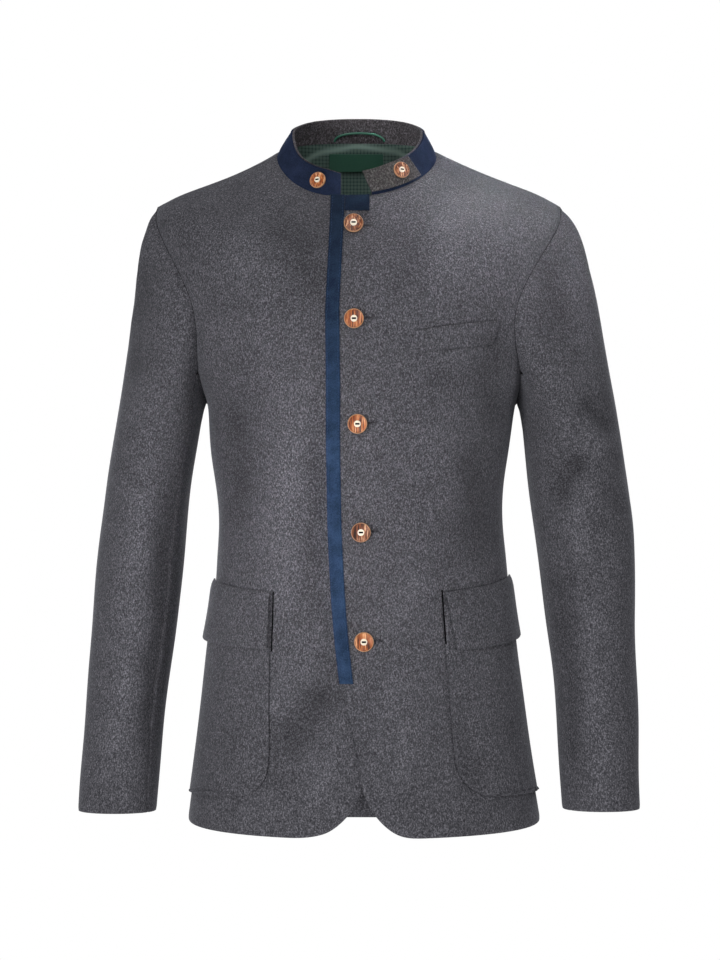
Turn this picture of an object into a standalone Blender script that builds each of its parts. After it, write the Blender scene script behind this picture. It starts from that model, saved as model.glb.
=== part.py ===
"""Hip-length loden jacket with a stand collar, worn form, hollow inside."""

import math

import bmesh
import bpy
import numpy as np

MM = 0.001

# Cloth
WALL = 2.0 * MM            # thickness of the loden
THIN = 1.2 * MM            # suede bands, lining and label
SEAM = 0.22 * MM           # each edge stands back from its seam line
LAY = 0.8 * MM             # room under a piece that lies on a panel
ARMPIT_ROOM = 0.9 * MM     # sleeve stands off the panels under the arm
EDGE_BEVEL = 1.0 * MM      # inner edge pulled back at the armholes
LAP = 1.8 * MM             # each front moves this far where they lie over each other
LAP_FULL = 42.0 * MM       # full lap up to here from the button line
LAP_END = 86.0 * MM        # no lap from here on

# Turns round the torso, in degrees: 0 front, 90 wearer's left, 180 back
SIDE_SEAM = 92.0
FRONT_COLUMNS = 12
BACK_COLUMNS = 20

# Torso, one row per level from the hem to the neck seam, in mm
RING_COLUMNS = (
    "z_front", "z_side", "z_back", "x_right", "x_left", "y_front", "y_back", "square", "side_square",
)
RINGS = (
    (-726.0, -713.0, -726.0, -185.0, 194.5, 128.0, 128.0, 2.35, 2.35),
    (-640.0, -635.0, -640.0, -175.0, 181.5, 124.0, 122.0, 2.35, 2.35),
    (-583.0, -583.0, -583.0, -168.8, 174.3, 121.0, 116.0, 2.35, 2.35),
    (-531.0, -531.0, -531.0, -163.0, 166.8, 118.0, 109.0, 2.35, 2.35),
    (-480.0, -480.0, -480.0, -156.5, 161.5, 115.0, 103.0, 2.35, 2.35),
    (-428.0, -428.0, -428.0, -153.5, 157.5, 113.0, 99.0, 2.35, 2.35),
    (-390.0, -390.0, -390.0, -151.5, 153.5, 113.0, 99.0, 2.35, 2.35),
    (-350.0, -350.0, -350.0, -156.0, 155.5, 117.0, 105.0, 2.35, 2.35),
    (-310.0, -310.0, -310.0, -162.5, 162.5, 122.0, 113.0, 2.35, 2.35),
    (-270.0, -270.0, -270.0, -163.5, 167.5, 127.0, 120.0, 2.35, 2.35),
    (-230.0, -225.0, -223.0, -184.0, 187.0, 129.0, 125.0, 2.3, 2.2),
    (-182.0, -165.0, -167.0, -204.0, 207.0, 127.0, 127.0, 2.2, 2.0),
    (-138.0, -105.0, -116.0, -217.0, 218.5, 118.0, 122.0, 2.15, 1.8),
    (-104.0, -55.5, -69.0, -219.5, 217.0, 104.0, 110.0, 2.1, 1.62),
    (-85.0, -36.8, -38.0, -177.5, 176.5, 91.0, 93.0, 2.1, 1.68),
    (-66.5, -21.0, -11.0, -133.0, 133.0, 78.0, 76.0, 2.05, 1.8),
    (-48.5, -1.4, 19.0, -90.5, 83.5, 66.0, 60.0, 2.0, 2.0),
)
LEVEL_UNDERARM = 9
LEVEL_SHOULDER = 13
LEVEL_NECK = 16
RIGHT_NECK_DIP = 4.5 * MM  # the right neck seam hangs a little lower

HEM_ROWS = (0.0, 0.047, 0.14, 0.27, 0.42, 0.6, 0.8)
BODY_ROWS = 12
HEM_EVENNESS = 1.1          # the hem stays low until near the side seams
ARMHOLE_STEPS = 9
SHOULDER_ROWS = 5

# Front edges, z and x in mm
EDGE_COLUMNS = ("z", "x")
LEFT_FRONT_EDGE = (
    (-726.0, 52.0),
    (-722.0, 38.5),
    (-714.0, 27.0),
    (-703.0, 16.5),
    (-690.0, 7.8),
    (-675.0, 2.1),
    (-640.0, -1.0),
    (-602.0, -10.0),
    (-564.0, -22.0),
    (-528.0, -26.2),
    (-476.0, -30.7),
    (-402.0, -34.2),
    (-324.0, -35.6),
    (-245.0, -35.6),
    (-167.0, -36.6),
    (-92.0, -32.7),
    (-48.0, -30.8),
)
RIGHT_FRONT_EDGE = (
    (-726.0, -60.0),
    (-722.0, -37.5),
    (-714.0, -25.0),
    (-703.0, -12.8),
    (-690.0, -4.0),
    (-675.0, 2.0),
    (-640.0, 12.0),
    (-602.0, 19.0),
    (-564.0, 23.0),
    (-476.0, 25.0),
    (-324.0, 22.0),
    (-167.0, 20.0),
    (-92.0, 19.0),
    (-48.0, 18.0),
)

# Soft folds of the torso: place, run, half width, half length and height in mm
FOLD_COLUMNS = ("x", "z", "back", "lean_deg", "half_width", "half_length", "height")
TORSO_FOLDS = (
    (-56.0, -594.0, 0, 42.0, 19.0, 52.0, -5.0),
    (-74.0, -440.0, 0, 4.0, 30.0, 110.0, 3.5),
    (-20.0, -620.0, 0, 50.0, 16.0, 40.0, 2.5),
    (60.0, -560.0, 0, -28.0, 20.0, 60.0, 2.8),
    (112.0, -420.0, 0, 62.0, 16.0, 40.0, -2.5),
    (-118.0, -400.0, 0, -60.0, 15.0, 38.0, -2.5),
    (-105.0, -250.0, 0, 24.0, 18.0, 55.0, -2.5),
    (110.0, -260.0, 0, -20.0, 20.0, 60.0, -2.5),
    (-60.0, -420.0, 1, 16.0, 20.0, 70.0, -3.5),
    (48.0, -380.0, 1, -30.0, 22.0, 60.0, -3.0),
    (0.0, -600.0, 1, 3.0, 30.0, 120.0, 4.0),
    (-100.0, -190.0, 1, 20.0, 20.0, 60.0, -3.0),
    (104.0, -200.0, 1, -24.0, 20.0, 55.0, -3.0),
)

# Armholes: how far each side of the hole reaches round from the side seam, degrees
ARMHOLE_REACH = {
    "right": {"front": 33.0, "back": 31.0},
    "left": {"front": 41.0, "back": 31.0},
}
ARMHOLE_BEND = {"right": 2.0, "left": 1.4}  # how straight its upper front runs down

ARMHOLE_ROUND = 0.55       # 0 pointed at top and bottom, 1 fully round

# Sleeves from the upper arm to the cuff, in mm; x grows away from the body
SLEEVE_COLUMNS = ("z", "x_inner", "x_outer", "y_mid", "y_half")
SLEEVE_RINGS = {
    "right": (
        (-300.0, 173.0, 265.5, 2.0, 71.0),
        (-350.0, 181.0, 273.5, 4.0, 69.0),
        (-402.0, 187.0, 281.0, 5.0, 66.0),
        (-454.0, 191.0, 285.8, 3.0, 63.0),
        (-506.0, 197.0, 289.5, -2.0, 60.0),
        (-557.0, 204.5, 292.8, -8.0, 57.5),
        (-610.0, 210.5, 296.0, -14.0, 55.0),
        (-661.0, 214.5, 300.0, -20.0, 53.0),
        (-704.0, 217.5, 302.6, -24.0, 52.0),
    ),
    "left": (
        (-300.0, 175.5, 282.0, 2.0, 71.0),
        (-350.0, 179.5, 290.5, 4.0, 69.0),
        (-402.0, 187.0, 297.0, 5.0, 66.0),
        (-454.0, 194.0, 298.0, 3.0, 63.0),
        (-506.0, 200.5, 297.0, -2.0, 60.0),
        (-557.0, 207.0, 299.0, -8.0, 57.5),
        (-610.0, 211.5, 300.2, -14.0, 55.0),
        (-661.0, 213.5, 300.2, -20.0, 53.0),
        (-702.0, 216.5, 301.3, -24.0, 52.0),
    ),
}
SLEEVE_SIGN = {"right": -1.0, "left": 1.0}
CAP_ROWS = 6
CAP_LEAN = 0.25             # how far the sleeve head leans out as it leaves the armhole
CAP_OUTSIDE_LEAN = {"right": 0.13, "left": 0.25}
CAP_FULLNESS = {"right": 0.28, "left": 0.38}  # roundness of the outside of the shoulder
ARM_ROWS_PER_RING = 2
TURN_STEP = 20.0           # degrees between sleeve columns
FRONT_ARM_SEAM = -50.0     # 0 front, 90 outside, 180 back, 270 against the body
BACK_ARM_SEAM = 150.0

# Sleeve folds: z, turn, run, half width, half length and height
ARM_FOLD_COLUMNS = ("z", "turn", "lean_deg", "half_width", "half_length", "height")
ARM_FOLDS = {
    "right": (
        (-226.0, 60.0, 12.0, 12.0, 40.0, -2.5),
        (-405.0, 40.0, 58.0, 11.0, 34.0, -2.6),
        (-440.0, 320.0, -50.0, 12.0, 36.0, -3.0),
        (-480.0, 200.0, 30.0, 12.0, 36.0, -3.0),
    ),
    "left": (
        (-322.0, 30.0, -62.0, 9.0, 34.0, -4.2),
        (-346.0, 62.0, -48.0, 9.0, 26.0, -3.5),
        (-334.0, 45.0, -55.0, 7.0, 28.0, 2.0),
        (-385.0, 80.0, 70.0, 12.0, 30.0, -1.5),
        (-440.0, 210.0, 40.0, 12.0, 36.0, -3.0),
    ),
}

# Stand collar, in mm
COLLAR_TOP = {
    "z_front": -26.0,
    "z_side": 25.0,
    "z_back": 44.7,
    "x_right": -74.6,
    "x_left": 69.4,
    "y_front": 60.5,
    "y_back": 53.0,
}
COLLAR_SWELL = (            # turn in degrees, extra height of the top edge in mm
    (-180.0, -0.9),
    (-130.0, 0.0),
    (-90.0, 0.0),
    (-65.0, -2.6),
    (-45.0, 0.4),
    (-25.0, 2.6),
    (-10.0, 0.6),
    (4.0, 4.2),
    (24.0, 8.0),
    (40.0, 8.2),
    (58.0, 6.0),
    (75.0, 3.6),
    (95.0, 0.0),
    (130.0, 0.0),
    (180.0, -0.9),
)
COLLAR_LIFT = 0.7 * MM
COLLAR_WALL = 1.4 * MM
COLLAR_GAP = 0.4 * MM
COLLAR_BELLY = 0.6 * MM     # outward curve halfway up
COLLAR_COLUMNS = 34
COLLAR_ROWS = 3
RIGHT_COLLAR_END = -20.5 * MM  # x of the front ends
LEFT_COLLAR_END = 12.5 * MM

# Chin tab on the left collar: turn of its corners, degrees
TAB = {
    "free_bottom": 10.0,
    "free_top": 3.6,
    "fixed_bottom": 52.0,
    "fixed_top": 47.0,
    "low": 0.11,
    "high": 1.03,
    "lift": 0.8,
    "free_lift": 3.0,
    "columns": 8,
    "rows": 3,
}

TRIM_WIDTH = 15.0 * MM
TRIM_BOTTOM = -564.0 * MM
NECK_TRIM = {"x_end": 10.0, "height": 17.3}

# Patch pockets and flaps, in mm; the outer end is a turn in degrees
POCKETS = {
    "right": {
        "x_top": -94.0,
        "x_low": -96.5,
        "z_top": -481.0,
        "z_top_out": -471.0,
        "z_bottom": -683.0,
        "z_bottom_out": -686.0,
        "corner": 32.0,
        "end": -86.0,
    },
    "left": {
        "x_top": 85.5,
        "x_low": 104.0,
        "z_top": -481.0,
        "z_top_out": -467.0,
        "z_bottom": -684.0,
        "z_bottom_out": -684.0,
        "corner": 38.0,
        "end": 87.0,
    },
}
POCKET_COLUMNS = 9
POCKET_ROWS = 6
FLAPS = {
    "right": {
        "x_top": -92.2,
        "x_low": -95.2,
        "z_top": -467.5,
        "z_top_out": -455.5,
        "z_bottom": -529.0,
        "z_bottom_out": -521.0,
        "end_top": -86.0,
        "end_low": -89.0,
    },
    "left": {
        "x_top": 89.3,
        "x_low": 100.5,
        "z_top": -467.5,
        "z_top_out": -451.0,
        "z_bottom": -530.0,
        "z_bottom_out": -518.0,
        "end_top": 83.0,
        "end_low": 87.0,
    },
}
FLAP_SHARES = (0.0, 0.3, 0.6, 0.88, 1.0)  # rows from the lower edge to the seam
FLAP_SEAM = 0.45 * MM      # the seam edge lies right on the front

WELT_COLUMNS = ("x_low", "z_low", "x_top", "z_top")
WELT = (
    (49.2, -219.0, 58.0, -193.5),
    (90.0, -213.0, 93.2, -187.2),
    (142.6, -207.5, 145.9, -181.0),
)

BUTTON = {"radius": 10.3, "height": 4.0, "sides": 20}
BUTTON_STAND = 0.8 * MM
BUTTON_SWING = 18.0         # degrees that a front button hangs over on its thread, at most
FRONT_BUTTONS = (
    (-6.6, -82.2),
    (-6.2, -181.4),
    (-2.6, -290.9),
    (1.1, -405.0),
    (4.2, -519.8),
)
COLLAR_BUTTON = {"turn": -30.9, "up": 0.475, "scale": 0.86, "stand": 0.5}
TAB_BUTTON = {"turn": 35.2, "up": 0.59, "scale": 0.86, "stand": 3.5}

LOOP = {
    "x_right": -28.0,
    "x_left": 26.5,
    "z_low": 19.5,
    "rise": 9.8,
    "radius": 1.4,
    "sides": 8,
    "steps": 14,
    "stand": 1.5,
}
LINING = {"low": 11.6, "skip": 3}
LABEL = {"x_right": -34.6, "x_left": 26.2, "z_low": -8.9, "z_top": 9.5, "columns": 6, "rows": 3}

COLOURS = {
    "loden": (0.090, 0.088, 0.100, 1.0),
    "suede": (0.026, 0.045, 0.100, 1.0),
    "horn": (0.330, 0.120, 0.055, 1.0),
    "cord": (0.026, 0.130, 0.085, 1.0),
    "label": (0.012, 0.042, 0.030, 1.0),
    "lining": (0.030, 0.070, 0.055, 1.0),
}
ROUGHNESS = {
    "loden": 0.95,
    "suede": 0.9,
    "horn": 0.4,
    "cord": 0.6,
    "label": 0.7,
    "lining": 0.6,
}


def clear_scene():
    for item in list(bpy.data.objects):
        bpy.data.objects.remove(item, do_unlink=True)


def make_material(name, stuff):
    material = bpy.data.materials.new(name)
    material.use_nodes = True
    shader = material.node_tree.nodes["Principled BSDF"]
    shader.inputs["Base Color"].default_value = COLOURS[stuff]
    shader.inputs["Roughness"].default_value = ROUGHNESS[stuff]
    shader.inputs["Metallic"].default_value = 0.0
    return material


def unit(vector):
    length = np.linalg.norm(vector)
    if length < 1e-12:
        return np.zeros(3)
    return vector / length


def ease(value):
    value = min(max(value, 0.0), 1.0)
    return value * value * (3.0 - 2.0 * value)


def sample_rows(rows, place):
    """Smooth curve through the rows of a table, place counts rows from 0."""
    last = len(rows) - 1
    place = min(max(place, 0.0), float(last))
    index = min(int(place), last - 1)
    part = place - index
    start = np.array(rows[index], dtype=float)
    end = np.array(rows[index + 1], dtype=float)
    before = np.array(rows[max(index - 1, 0)], dtype=float)
    after = np.array(rows[min(index + 2, last)], dtype=float)
    start_slope = (end - before) * (0.5 if index > 0 else 1.0)
    end_slope = (after - start) * (0.5 if index < last - 1 else 1.0)
    square = part * part
    cube = square * part
    return (
        (2.0 * cube - 3.0 * square + 1.0) * start
        + (cube - 2.0 * square + part) * start_slope
        + (3.0 * square - 2.0 * cube) * end
        + (cube - square) * end_slope
    )


def edge_x(rows, z):
    heights = [row[0] * MM for row in rows]
    places = [row[1] * MM for row in rows]
    return float(np.interp(z, heights, places))


def ring_height(z_front, z_side, z_back, turn, evenness=0.0):
    """Height round a ring. Evenness above 0 keeps it low until near the sides."""
    swing = (z_front - z_back) / 2.0
    dip = ((z_front + z_back) / 2.0 - z_side) / 2.0
    share = abs(math.cos(turn)) ** (2.0 - evenness)
    return z_side + swing * math.cos(turn) + 2.0 * dip * share


def square_factor(turn, square, side_square):
    square = square + (side_square - square) * math.sin(turn) ** 2
    side = abs(math.sin(turn)) ** square
    front = abs(math.cos(turn)) ** square
    return (side + front) ** (-1.0 / square)


def bare_torso(turn_deg, level):
    """Point of the torso form without folds."""
    row = sample_rows(RINGS, level)
    z_front, z_side, z_back, x_right, x_left, y_front, y_back, square, side_square = row
    turn = math.radians(turn_deg)
    reach = square_factor(turn, square, side_square)
    middle = (x_right + x_left) / 2.0
    half = (x_left - x_right) / 2.0
    depth = y_front if math.cos(turn) > 0.0 else y_back
    x = middle + half * math.sin(turn) * reach
    y = -depth * math.cos(turn) * reach
    evenness = HEM_EVENNESS * max(1.0 - level, 0.0)
    z = ring_height(z_front, z_side, z_back, turn, evenness)
    point = np.array((x, y, z)) * MM
    if -90.0 < turn_deg < 0.0 and level > LEVEL_SHOULDER:
        share = (level - LEVEL_SHOULDER) / (LEVEL_NECK - LEVEL_SHOULDER)
        point[2] -= RIGHT_NECK_DIP * share * share * math.sin(2.0 * turn) ** 2
    return point


def bare_normal(turn_deg, level):
    step = 0.04
    low = max(level - step, 0.0)
    high = min(level + step, float(LEVEL_NECK))
    around = bare_torso(turn_deg + 0.5, level) - bare_torso(turn_deg - 0.5, level)
    upward = bare_torso(turn_deg, high) - bare_torso(turn_deg, low)
    return unit(np.cross(around, upward))


def fold_height(point, level):
    """Sum of the soft folds near a point of the torso."""
    total = 0.0
    for x, z, back, lean, half_width, half_length, height in TORSO_FOLDS:
        if (point[1] > 0.0) != (back == 1):
            continue
        lean_turn = math.radians(lean)
        across = point[0] / MM - x
        along = point[2] / MM - z
        side = across * math.cos(lean_turn) - along * math.sin(lean_turn)
        run = across * math.sin(lean_turn) + along * math.cos(lean_turn)
        total += height * math.exp(-(side / half_width) ** 2 - (run / half_length) ** 2)
    fade = ease(abs(point[1]) / (45.0 * MM)) * ease((LEVEL_SHOULDER - 0.5 - level) / 1.5)
    return total * fade * MM


def torso_point(turn_deg, level, out=0.0):
    point = bare_torso(turn_deg, level)
    normal = bare_normal(turn_deg, level)
    return point + normal * (fold_height(point, level) + out)


def turn_at_x(x, level, back=False):
    """Turn whose torso point has the wanted x at this level."""
    low = -90.0
    high = 90.0
    for _ in range(40):
        middle = (low + high) / 2.0
        turn = 180.0 - middle if back else middle
        if bare_torso(turn, level)[0] < x:
            low = middle
        else:
            high = middle
    return 180.0 - low if back else low


def level_at_z(z, turn_deg):
    low = 0.0
    high = float(LEVEL_NECK)
    for _ in range(40):
        middle = (low + high) / 2.0
        if bare_torso(turn_deg, middle)[2] < z:
            low = middle
        else:
            high = middle
    return low


def torso_place(x, z, back=False):
    """Turn and level of the torso point seen at x and z."""
    turn = 180.0 if back else 0.0
    level = 8.0
    for _ in range(12):
        level = level_at_z(z, turn)
        turn = turn_at_x(x, level, back)
    return turn, level


def level_at_side_height(z_side):
    levels = np.linspace(LEVEL_UNDERARM, LEVEL_SHOULDER, 400)
    heights = [sample_rows(RINGS, level)[1] for level in levels]
    return float(np.interp(z_side, heights, levels))


def armhole_level(arm_turn):
    """Level of the armhole point, arm_turn -90 under the arm to 90 on the shoulder."""
    low = RINGS[LEVEL_UNDERARM][1]
    high = RINGS[LEVEL_SHOULDER][1]
    even = (arm_turn + 90.0) / 180.0
    curved = (1.0 + math.sin(math.radians(arm_turn))) / 2.0
    share = even + (curved - even) * ARMHOLE_ROUND
    return level_at_side_height(low + share * (high - low))


def armhole_turn(side, arm_turn):
    """Torso turn of the armhole point for a turn round the arm."""
    front = math.cos(math.radians(arm_turn))
    reach = ARMHOLE_REACH[side]["front" if front > 0.0 else "back"]
    if front > 0.0 and math.sin(math.radians(arm_turn)) > 0.0:
        front = front ** ARMHOLE_BEND[side]
    return SLEEVE_SIGN[side] * (SIDE_SEAM - reach * front)


def body_levels():
    levels = list(HEM_ROWS)
    levels += list(np.linspace(1.0, LEVEL_UNDERARM, BODY_ROWS + 1))
    for step in range(1, ARMHOLE_STEPS + 1):
        levels.append(armhole_level(-90.0 + step * 180.0 / ARMHOLE_STEPS))
    levels += list(np.linspace(LEVEL_SHOULDER, LEVEL_NECK, SHOULDER_ROWS + 1))[1:]
    return levels


def panel_side_turn(side, row, front):
    """Turn of the panel's outer edge at a row: side seam, armhole or shoulder seam."""
    first = len(HEM_ROWS) + BODY_ROWS
    step = row - first
    if 0 < step < ARMHOLE_STEPS:
        arm_turn = -90.0 + step * 180.0 / ARMHOLE_STEPS
        if not front:
            arm_turn = 180.0 - arm_turn
        return armhole_turn(side, arm_turn)
    return SLEEVE_SIGN[side] * SIDE_SEAM


def is_armhole_row(row):
    first = len(HEM_ROWS) + BODY_ROWS
    return first <= row <= first + ARMHOLE_STEPS


def pull(point, toward, distance):
    return point + unit(toward - point) * distance


def tighten(grid, distances):
    """Pull the four borders of a grid in: bottom, top, first column, last column."""
    bottom, top, first, last = distances
    grid = [list(row) for row in grid]
    rows = len(grid)
    columns = len(grid[0])
    for column in range(columns):
        if bottom:
            grid[0][column] = pull(grid[0][column], grid[1][column], bottom)
        if top:
            grid[-1][column] = pull(grid[-1][column], grid[-2][column], top)
    for row in range(rows):
        if first:
            grid[row][0] = pull(grid[row][0], grid[row][1], first)
        if last:
            grid[row][-1] = pull(grid[row][-1], grid[row][-2], last)
    return grid


def sheet_object(name, outer, inner, stuff, root):
    """Closed solid between two grids of points with the same rows and columns."""
    mesh = bpy.data.meshes.new(name)
    shell = bmesh.new()
    rows = len(outer)
    columns = len(outer[0])
    skins = []
    for grid in (outer, inner):
        skins.append([[shell.verts.new(point) for point in row] for row in grid])
    for skin in skins:
        for row in range(rows - 1):
            for column in range(columns - 1):
                face = shell.faces.new((
                    skin[row][column],
                    skin[row][column + 1],
                    skin[row + 1][column + 1],
                    skin[row + 1][column],
                ))
                face.smooth = True
    rim = [(0, column) for column in range(columns)]
    rim += [(row, columns - 1) for row in range(1, rows)]
    rim += [(rows - 1, column) for column in range(columns - 2, -1, -1)]
    rim += [(row, 0) for row in range(rows - 2, 0, -1)]
    for index, spot in enumerate(rim):
        after = rim[(index + 1) % len(rim)]
        shell.faces.new((
            skins[0][spot[0]][spot[1]],
            skins[0][after[0]][after[1]],
            skins[1][after[0]][after[1]],
            skins[1][spot[0]][spot[1]],
        ))
    bmesh.ops.recalc_face_normals(shell, faces=shell.faces)
    shell.to_mesh(mesh)
    shell.free()
    item = bpy.data.objects.new(name, mesh)
    bpy.context.scene.collection.objects.link(item)
    item.data.materials.append(make_material(name + "_cloth", stuff))
    item.parent = root
    return item


def lap_share(x):
    distance = abs(x)
    return 1.0 - ease((distance - LAP_FULL) / (LAP_END - LAP_FULL))


def front_grid(side, edge, lap, depth):
    sign = SLEEVE_SIGN[side]
    grid = []
    for row, level in enumerate(body_levels()):
        z_front = sample_rows(RINGS, level)[0] * MM
        start = turn_at_x(edge_x(edge, z_front), level)
        end = panel_side_turn(side, row, True)
        line = []
        for column in range(FRONT_COLUMNS + 1):
            turn = start + (end - start) * column / FRONT_COLUMNS
            x = bare_torso(turn, level)[0]
            line.append(torso_point(turn, level, lap * lap_share(x) - depth))
        grid.append(line)
    return grid, sign


def bevel_armhole(grid, which):
    """Pull the inner wall back from the armhole edge."""
    grid = [list(row) for row in grid]
    for row in range(len(grid)):
        if is_armhole_row(row):
            if which in ("last", "both"):
                grid[row][-1] = pull(grid[row][-1], grid[row][-2], EDGE_BEVEL)
            if which in ("first", "both"):
                grid[row][0] = pull(grid[row][0], grid[row][1], EDGE_BEVEL)
    return grid


def make_front(name, side, edge, lap, root):
    outer, _ = front_grid(side, edge, lap, 0.0)
    inner, _ = front_grid(side, edge, lap, WALL)
    gaps = (0.0, SEAM, 0.0, SEAM)
    outer = tighten(outer, gaps)
    inner = bevel_armhole(tighten(inner, gaps), "last")
    return sheet_object(name, outer, inner, "loden", root)


def back_grid(depth):
    grid = []
    for row, level in enumerate(body_levels()):
        start = panel_side_turn("left", row, False)
        end = panel_side_turn("right", row, False) + 360.0
        line = []
        for column in range(BACK_COLUMNS + 1):
            turn = start + (end - start) * column / BACK_COLUMNS
            line.append(torso_point(turn, level, -depth))
        grid.append(line)
    return grid


def make_back(root):
    gaps = (0.0, SEAM, SEAM, SEAM)
    outer = tighten(back_grid(0.0), gaps)
    inner = bevel_armhole(tighten(back_grid(WALL), gaps), "both")
    return sheet_object("back", outer, inner, "loden", root)


def arm_ring_point(side, arm_turn, place):
    row = sample_rows(SLEEVE_RINGS[side], place)
    z, x_inner, x_outer, y_mid, y_half = row
    turn = math.radians(arm_turn)
    reach = square_factor(turn, 2.2, 2.2)
    middle = (x_inner + x_outer) / 2.0
    half = (x_outer - x_inner) / 2.0
    x = SLEEVE_SIGN[side] * (middle + half * math.sin(turn) * reach)
    y = y_mid - y_half * math.cos(turn) * reach
    return np.array((x, y, z)) * MM


def armhole_point(side, arm_turn):
    wrapped = (arm_turn + 90.0) % 360.0 - 90.0
    rise = wrapped if wrapped <= 90.0 else 180.0 - wrapped
    level = armhole_level(rise)
    low = (1.0 - math.sin(math.radians(arm_turn))) / 2.0
    return torso_point(armhole_turn(side, arm_turn), level, ARMPIT_ROOM * math.sqrt(low))


def cap_point(side, arm_turn, share):
    """Sleeve head between the armhole and the upper arm."""
    start = armhole_point(side, arm_turn)
    end = arm_ring_point(side, arm_turn, 0.0)
    below = arm_ring_point(side, arm_turn, 0.3)
    span = np.linalg.norm(end - start)
    turn = math.radians(arm_turn)
    outside = max(math.sin(turn), 0.0) ** 2
    lean = CAP_LEAN + (CAP_OUTSIDE_LEAN[side] - CAP_LEAN) * outside
    lean += CAP_FULLNESS[side] * outside * (1.0 - share)
    outward = SLEEVE_SIGN[side] * lean
    leave = np.array((outward, -0.05 * math.cos(turn), -0.42)) * span
    arrive = unit(below - end) * span
    square = share * share
    cube = square * share
    return (
        (2.0 * cube - 3.0 * square + 1.0) * start
        + (cube - 2.0 * square + share) * leave
        + (3.0 * square - 2.0 * cube) * end
        + (cube - square) * arrive
    )


def bare_sleeve(side, arm_turn, place):
    """Sleeve form, place 0 at the armhole, 1 at the first ring and on to the cuff."""
    if place < 1.0:
        return cap_point(side, arm_turn, place)
    return arm_ring_point(side, arm_turn, place - 1.0)


def sleeve_normal(side, arm_turn, place):
    last = float(len(SLEEVE_RINGS[side]))
    low = max(place - 0.05, 0.0)
    high = min(place + 0.05, last)
    around = bare_sleeve(side, arm_turn + 2.0, place) - bare_sleeve(side, arm_turn - 2.0, place)
    along = bare_sleeve(side, arm_turn, high) - bare_sleeve(side, arm_turn, low)
    return unit(np.cross(along, around)) * SLEEVE_SIGN[side]


def arm_fold_height(side, point, arm_turn):
    total = 0.0
    for z, turn, lean, half_width, half_length, height in ARM_FOLDS[side]:
        apart = (arm_turn - turn + 180.0) % 360.0 - 180.0
        lean_turn = math.radians(lean)
        across = apart * 1.0
        along = point[2] / MM - z
        beside = across * math.cos(lean_turn) - along * math.sin(lean_turn)
        run = across * math.sin(lean_turn) + along * math.cos(lean_turn)
        total += height * math.exp(-(beside / half_width) ** 2 - (run / half_length) ** 2)
    return total * MM


def sleeve_point(side, arm_turn, place, out=0.0):
    point = bare_sleeve(side, arm_turn, place)
    fold = arm_fold_height(side, point, arm_turn) * ease(place)
    return point + sleeve_normal(side, arm_turn, place) * (fold + out)


def sleeve_places(side):
    places = [step / CAP_ROWS for step in range(CAP_ROWS)]
    count = (len(SLEEVE_RINGS[side]) - 1) * ARM_ROWS_PER_RING
    places += [1.0 + step / ARM_ROWS_PER_RING for step in range(count + 1)]
    return places


def sleeve_grid(side, first_turn, last_turn, depth):
    columns = int(round((last_turn - first_turn) / TURN_STEP))
    grid = []
    for place in sleeve_places(side):
        line = []
        for column in range(columns + 1):
            arm_turn = first_turn + column * TURN_STEP
            line.append(sleeve_point(side, arm_turn, place, -depth))
        grid.append(line)
    return grid


def make_sleeve_half(name, side, first_turn, last_turn, root):
    gaps = (SEAM, 0.0, SEAM, SEAM)
    outer = tighten(sleeve_grid(side, first_turn, last_turn, 0.0), gaps)
    inner = tighten(sleeve_grid(side, first_turn, last_turn, WALL), gaps)
    inner = tighten(inner, (EDGE_BEVEL, 0.0, 0.0, 0.0))
    return sheet_object(name, outer, inner, "loden", root)


def collar_top_height(turn):
    """The top edge rises evenly from the front to the sides, then slowly to the back."""
    turns = [row[0] for row in COLLAR_SWELL]
    swells = [row[1] for row in COLLAR_SWELL]
    swell = float(np.interp(math.degrees(turn), turns, swells))
    front = math.cos(turn)
    side = COLLAR_TOP["z_side"]
    if front > 0.0:
        share = (1.0 - front) ** 1.1
        return swell + COLLAR_TOP["z_front"] + (side - COLLAR_TOP["z_front"]) * share
    return swell + side + (COLLAR_TOP["z_back"] - side) * (-front) ** 0.9


def collar_point(turn_deg, rise, out=0.0):
    """Stand collar form, rise 0 at the neck seam and 1 at the top edge."""
    low = bare_torso(turn_deg, LEVEL_NECK)
    turn = math.radians(turn_deg)
    middle = (COLLAR_TOP["x_right"] + COLLAR_TOP["x_left"]) / 2.0
    half = (COLLAR_TOP["x_left"] - COLLAR_TOP["x_right"]) / 2.0
    depth = COLLAR_TOP["y_front"] if math.cos(turn) > 0.0 else COLLAR_TOP["y_back"]
    x = middle + half * math.sin(turn)
    y = -depth * math.cos(turn)
    high = np.array((x, y, collar_top_height(turn))) * MM
    base = low + unit(high - low) * COLLAR_LIFT
    point = base + (high - base) * rise
    outward = unit(np.array((math.sin(turn) / half, -math.cos(turn) / depth, 0.0)))
    belly = COLLAR_BELLY * math.sin(math.pi * min(max(rise, 0.0), 1.0))
    return point + outward * (belly + out)


def collar_turn_at_x(x, rise):
    low = -90.0
    high = 90.0
    for _ in range(40):
        middle = (low + high) / 2.0
        if collar_point(middle, rise)[0] < x:
            low = middle
        else:
            high = middle
    return low


def collar_grid(start_x, end_x, top_rise, depth):
    """Runs from the left front end round the back to the right front end."""
    grid = []
    for row in range(COLLAR_ROWS + 1):
        rise = top_rise * row / COLLAR_ROWS
        start = collar_turn_at_x(start_x, rise)
        end = collar_turn_at_x(end_x, rise) + 360.0
        line = []
        for column in range(COLLAR_COLUMNS + 1):
            turn = start + (end - start) * column / COLLAR_COLUMNS
            wrapped = turn if turn <= 180.0 else turn - 360.0
            line.append(collar_point(wrapped, rise, -depth))
        grid.append(line)
    return grid


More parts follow.
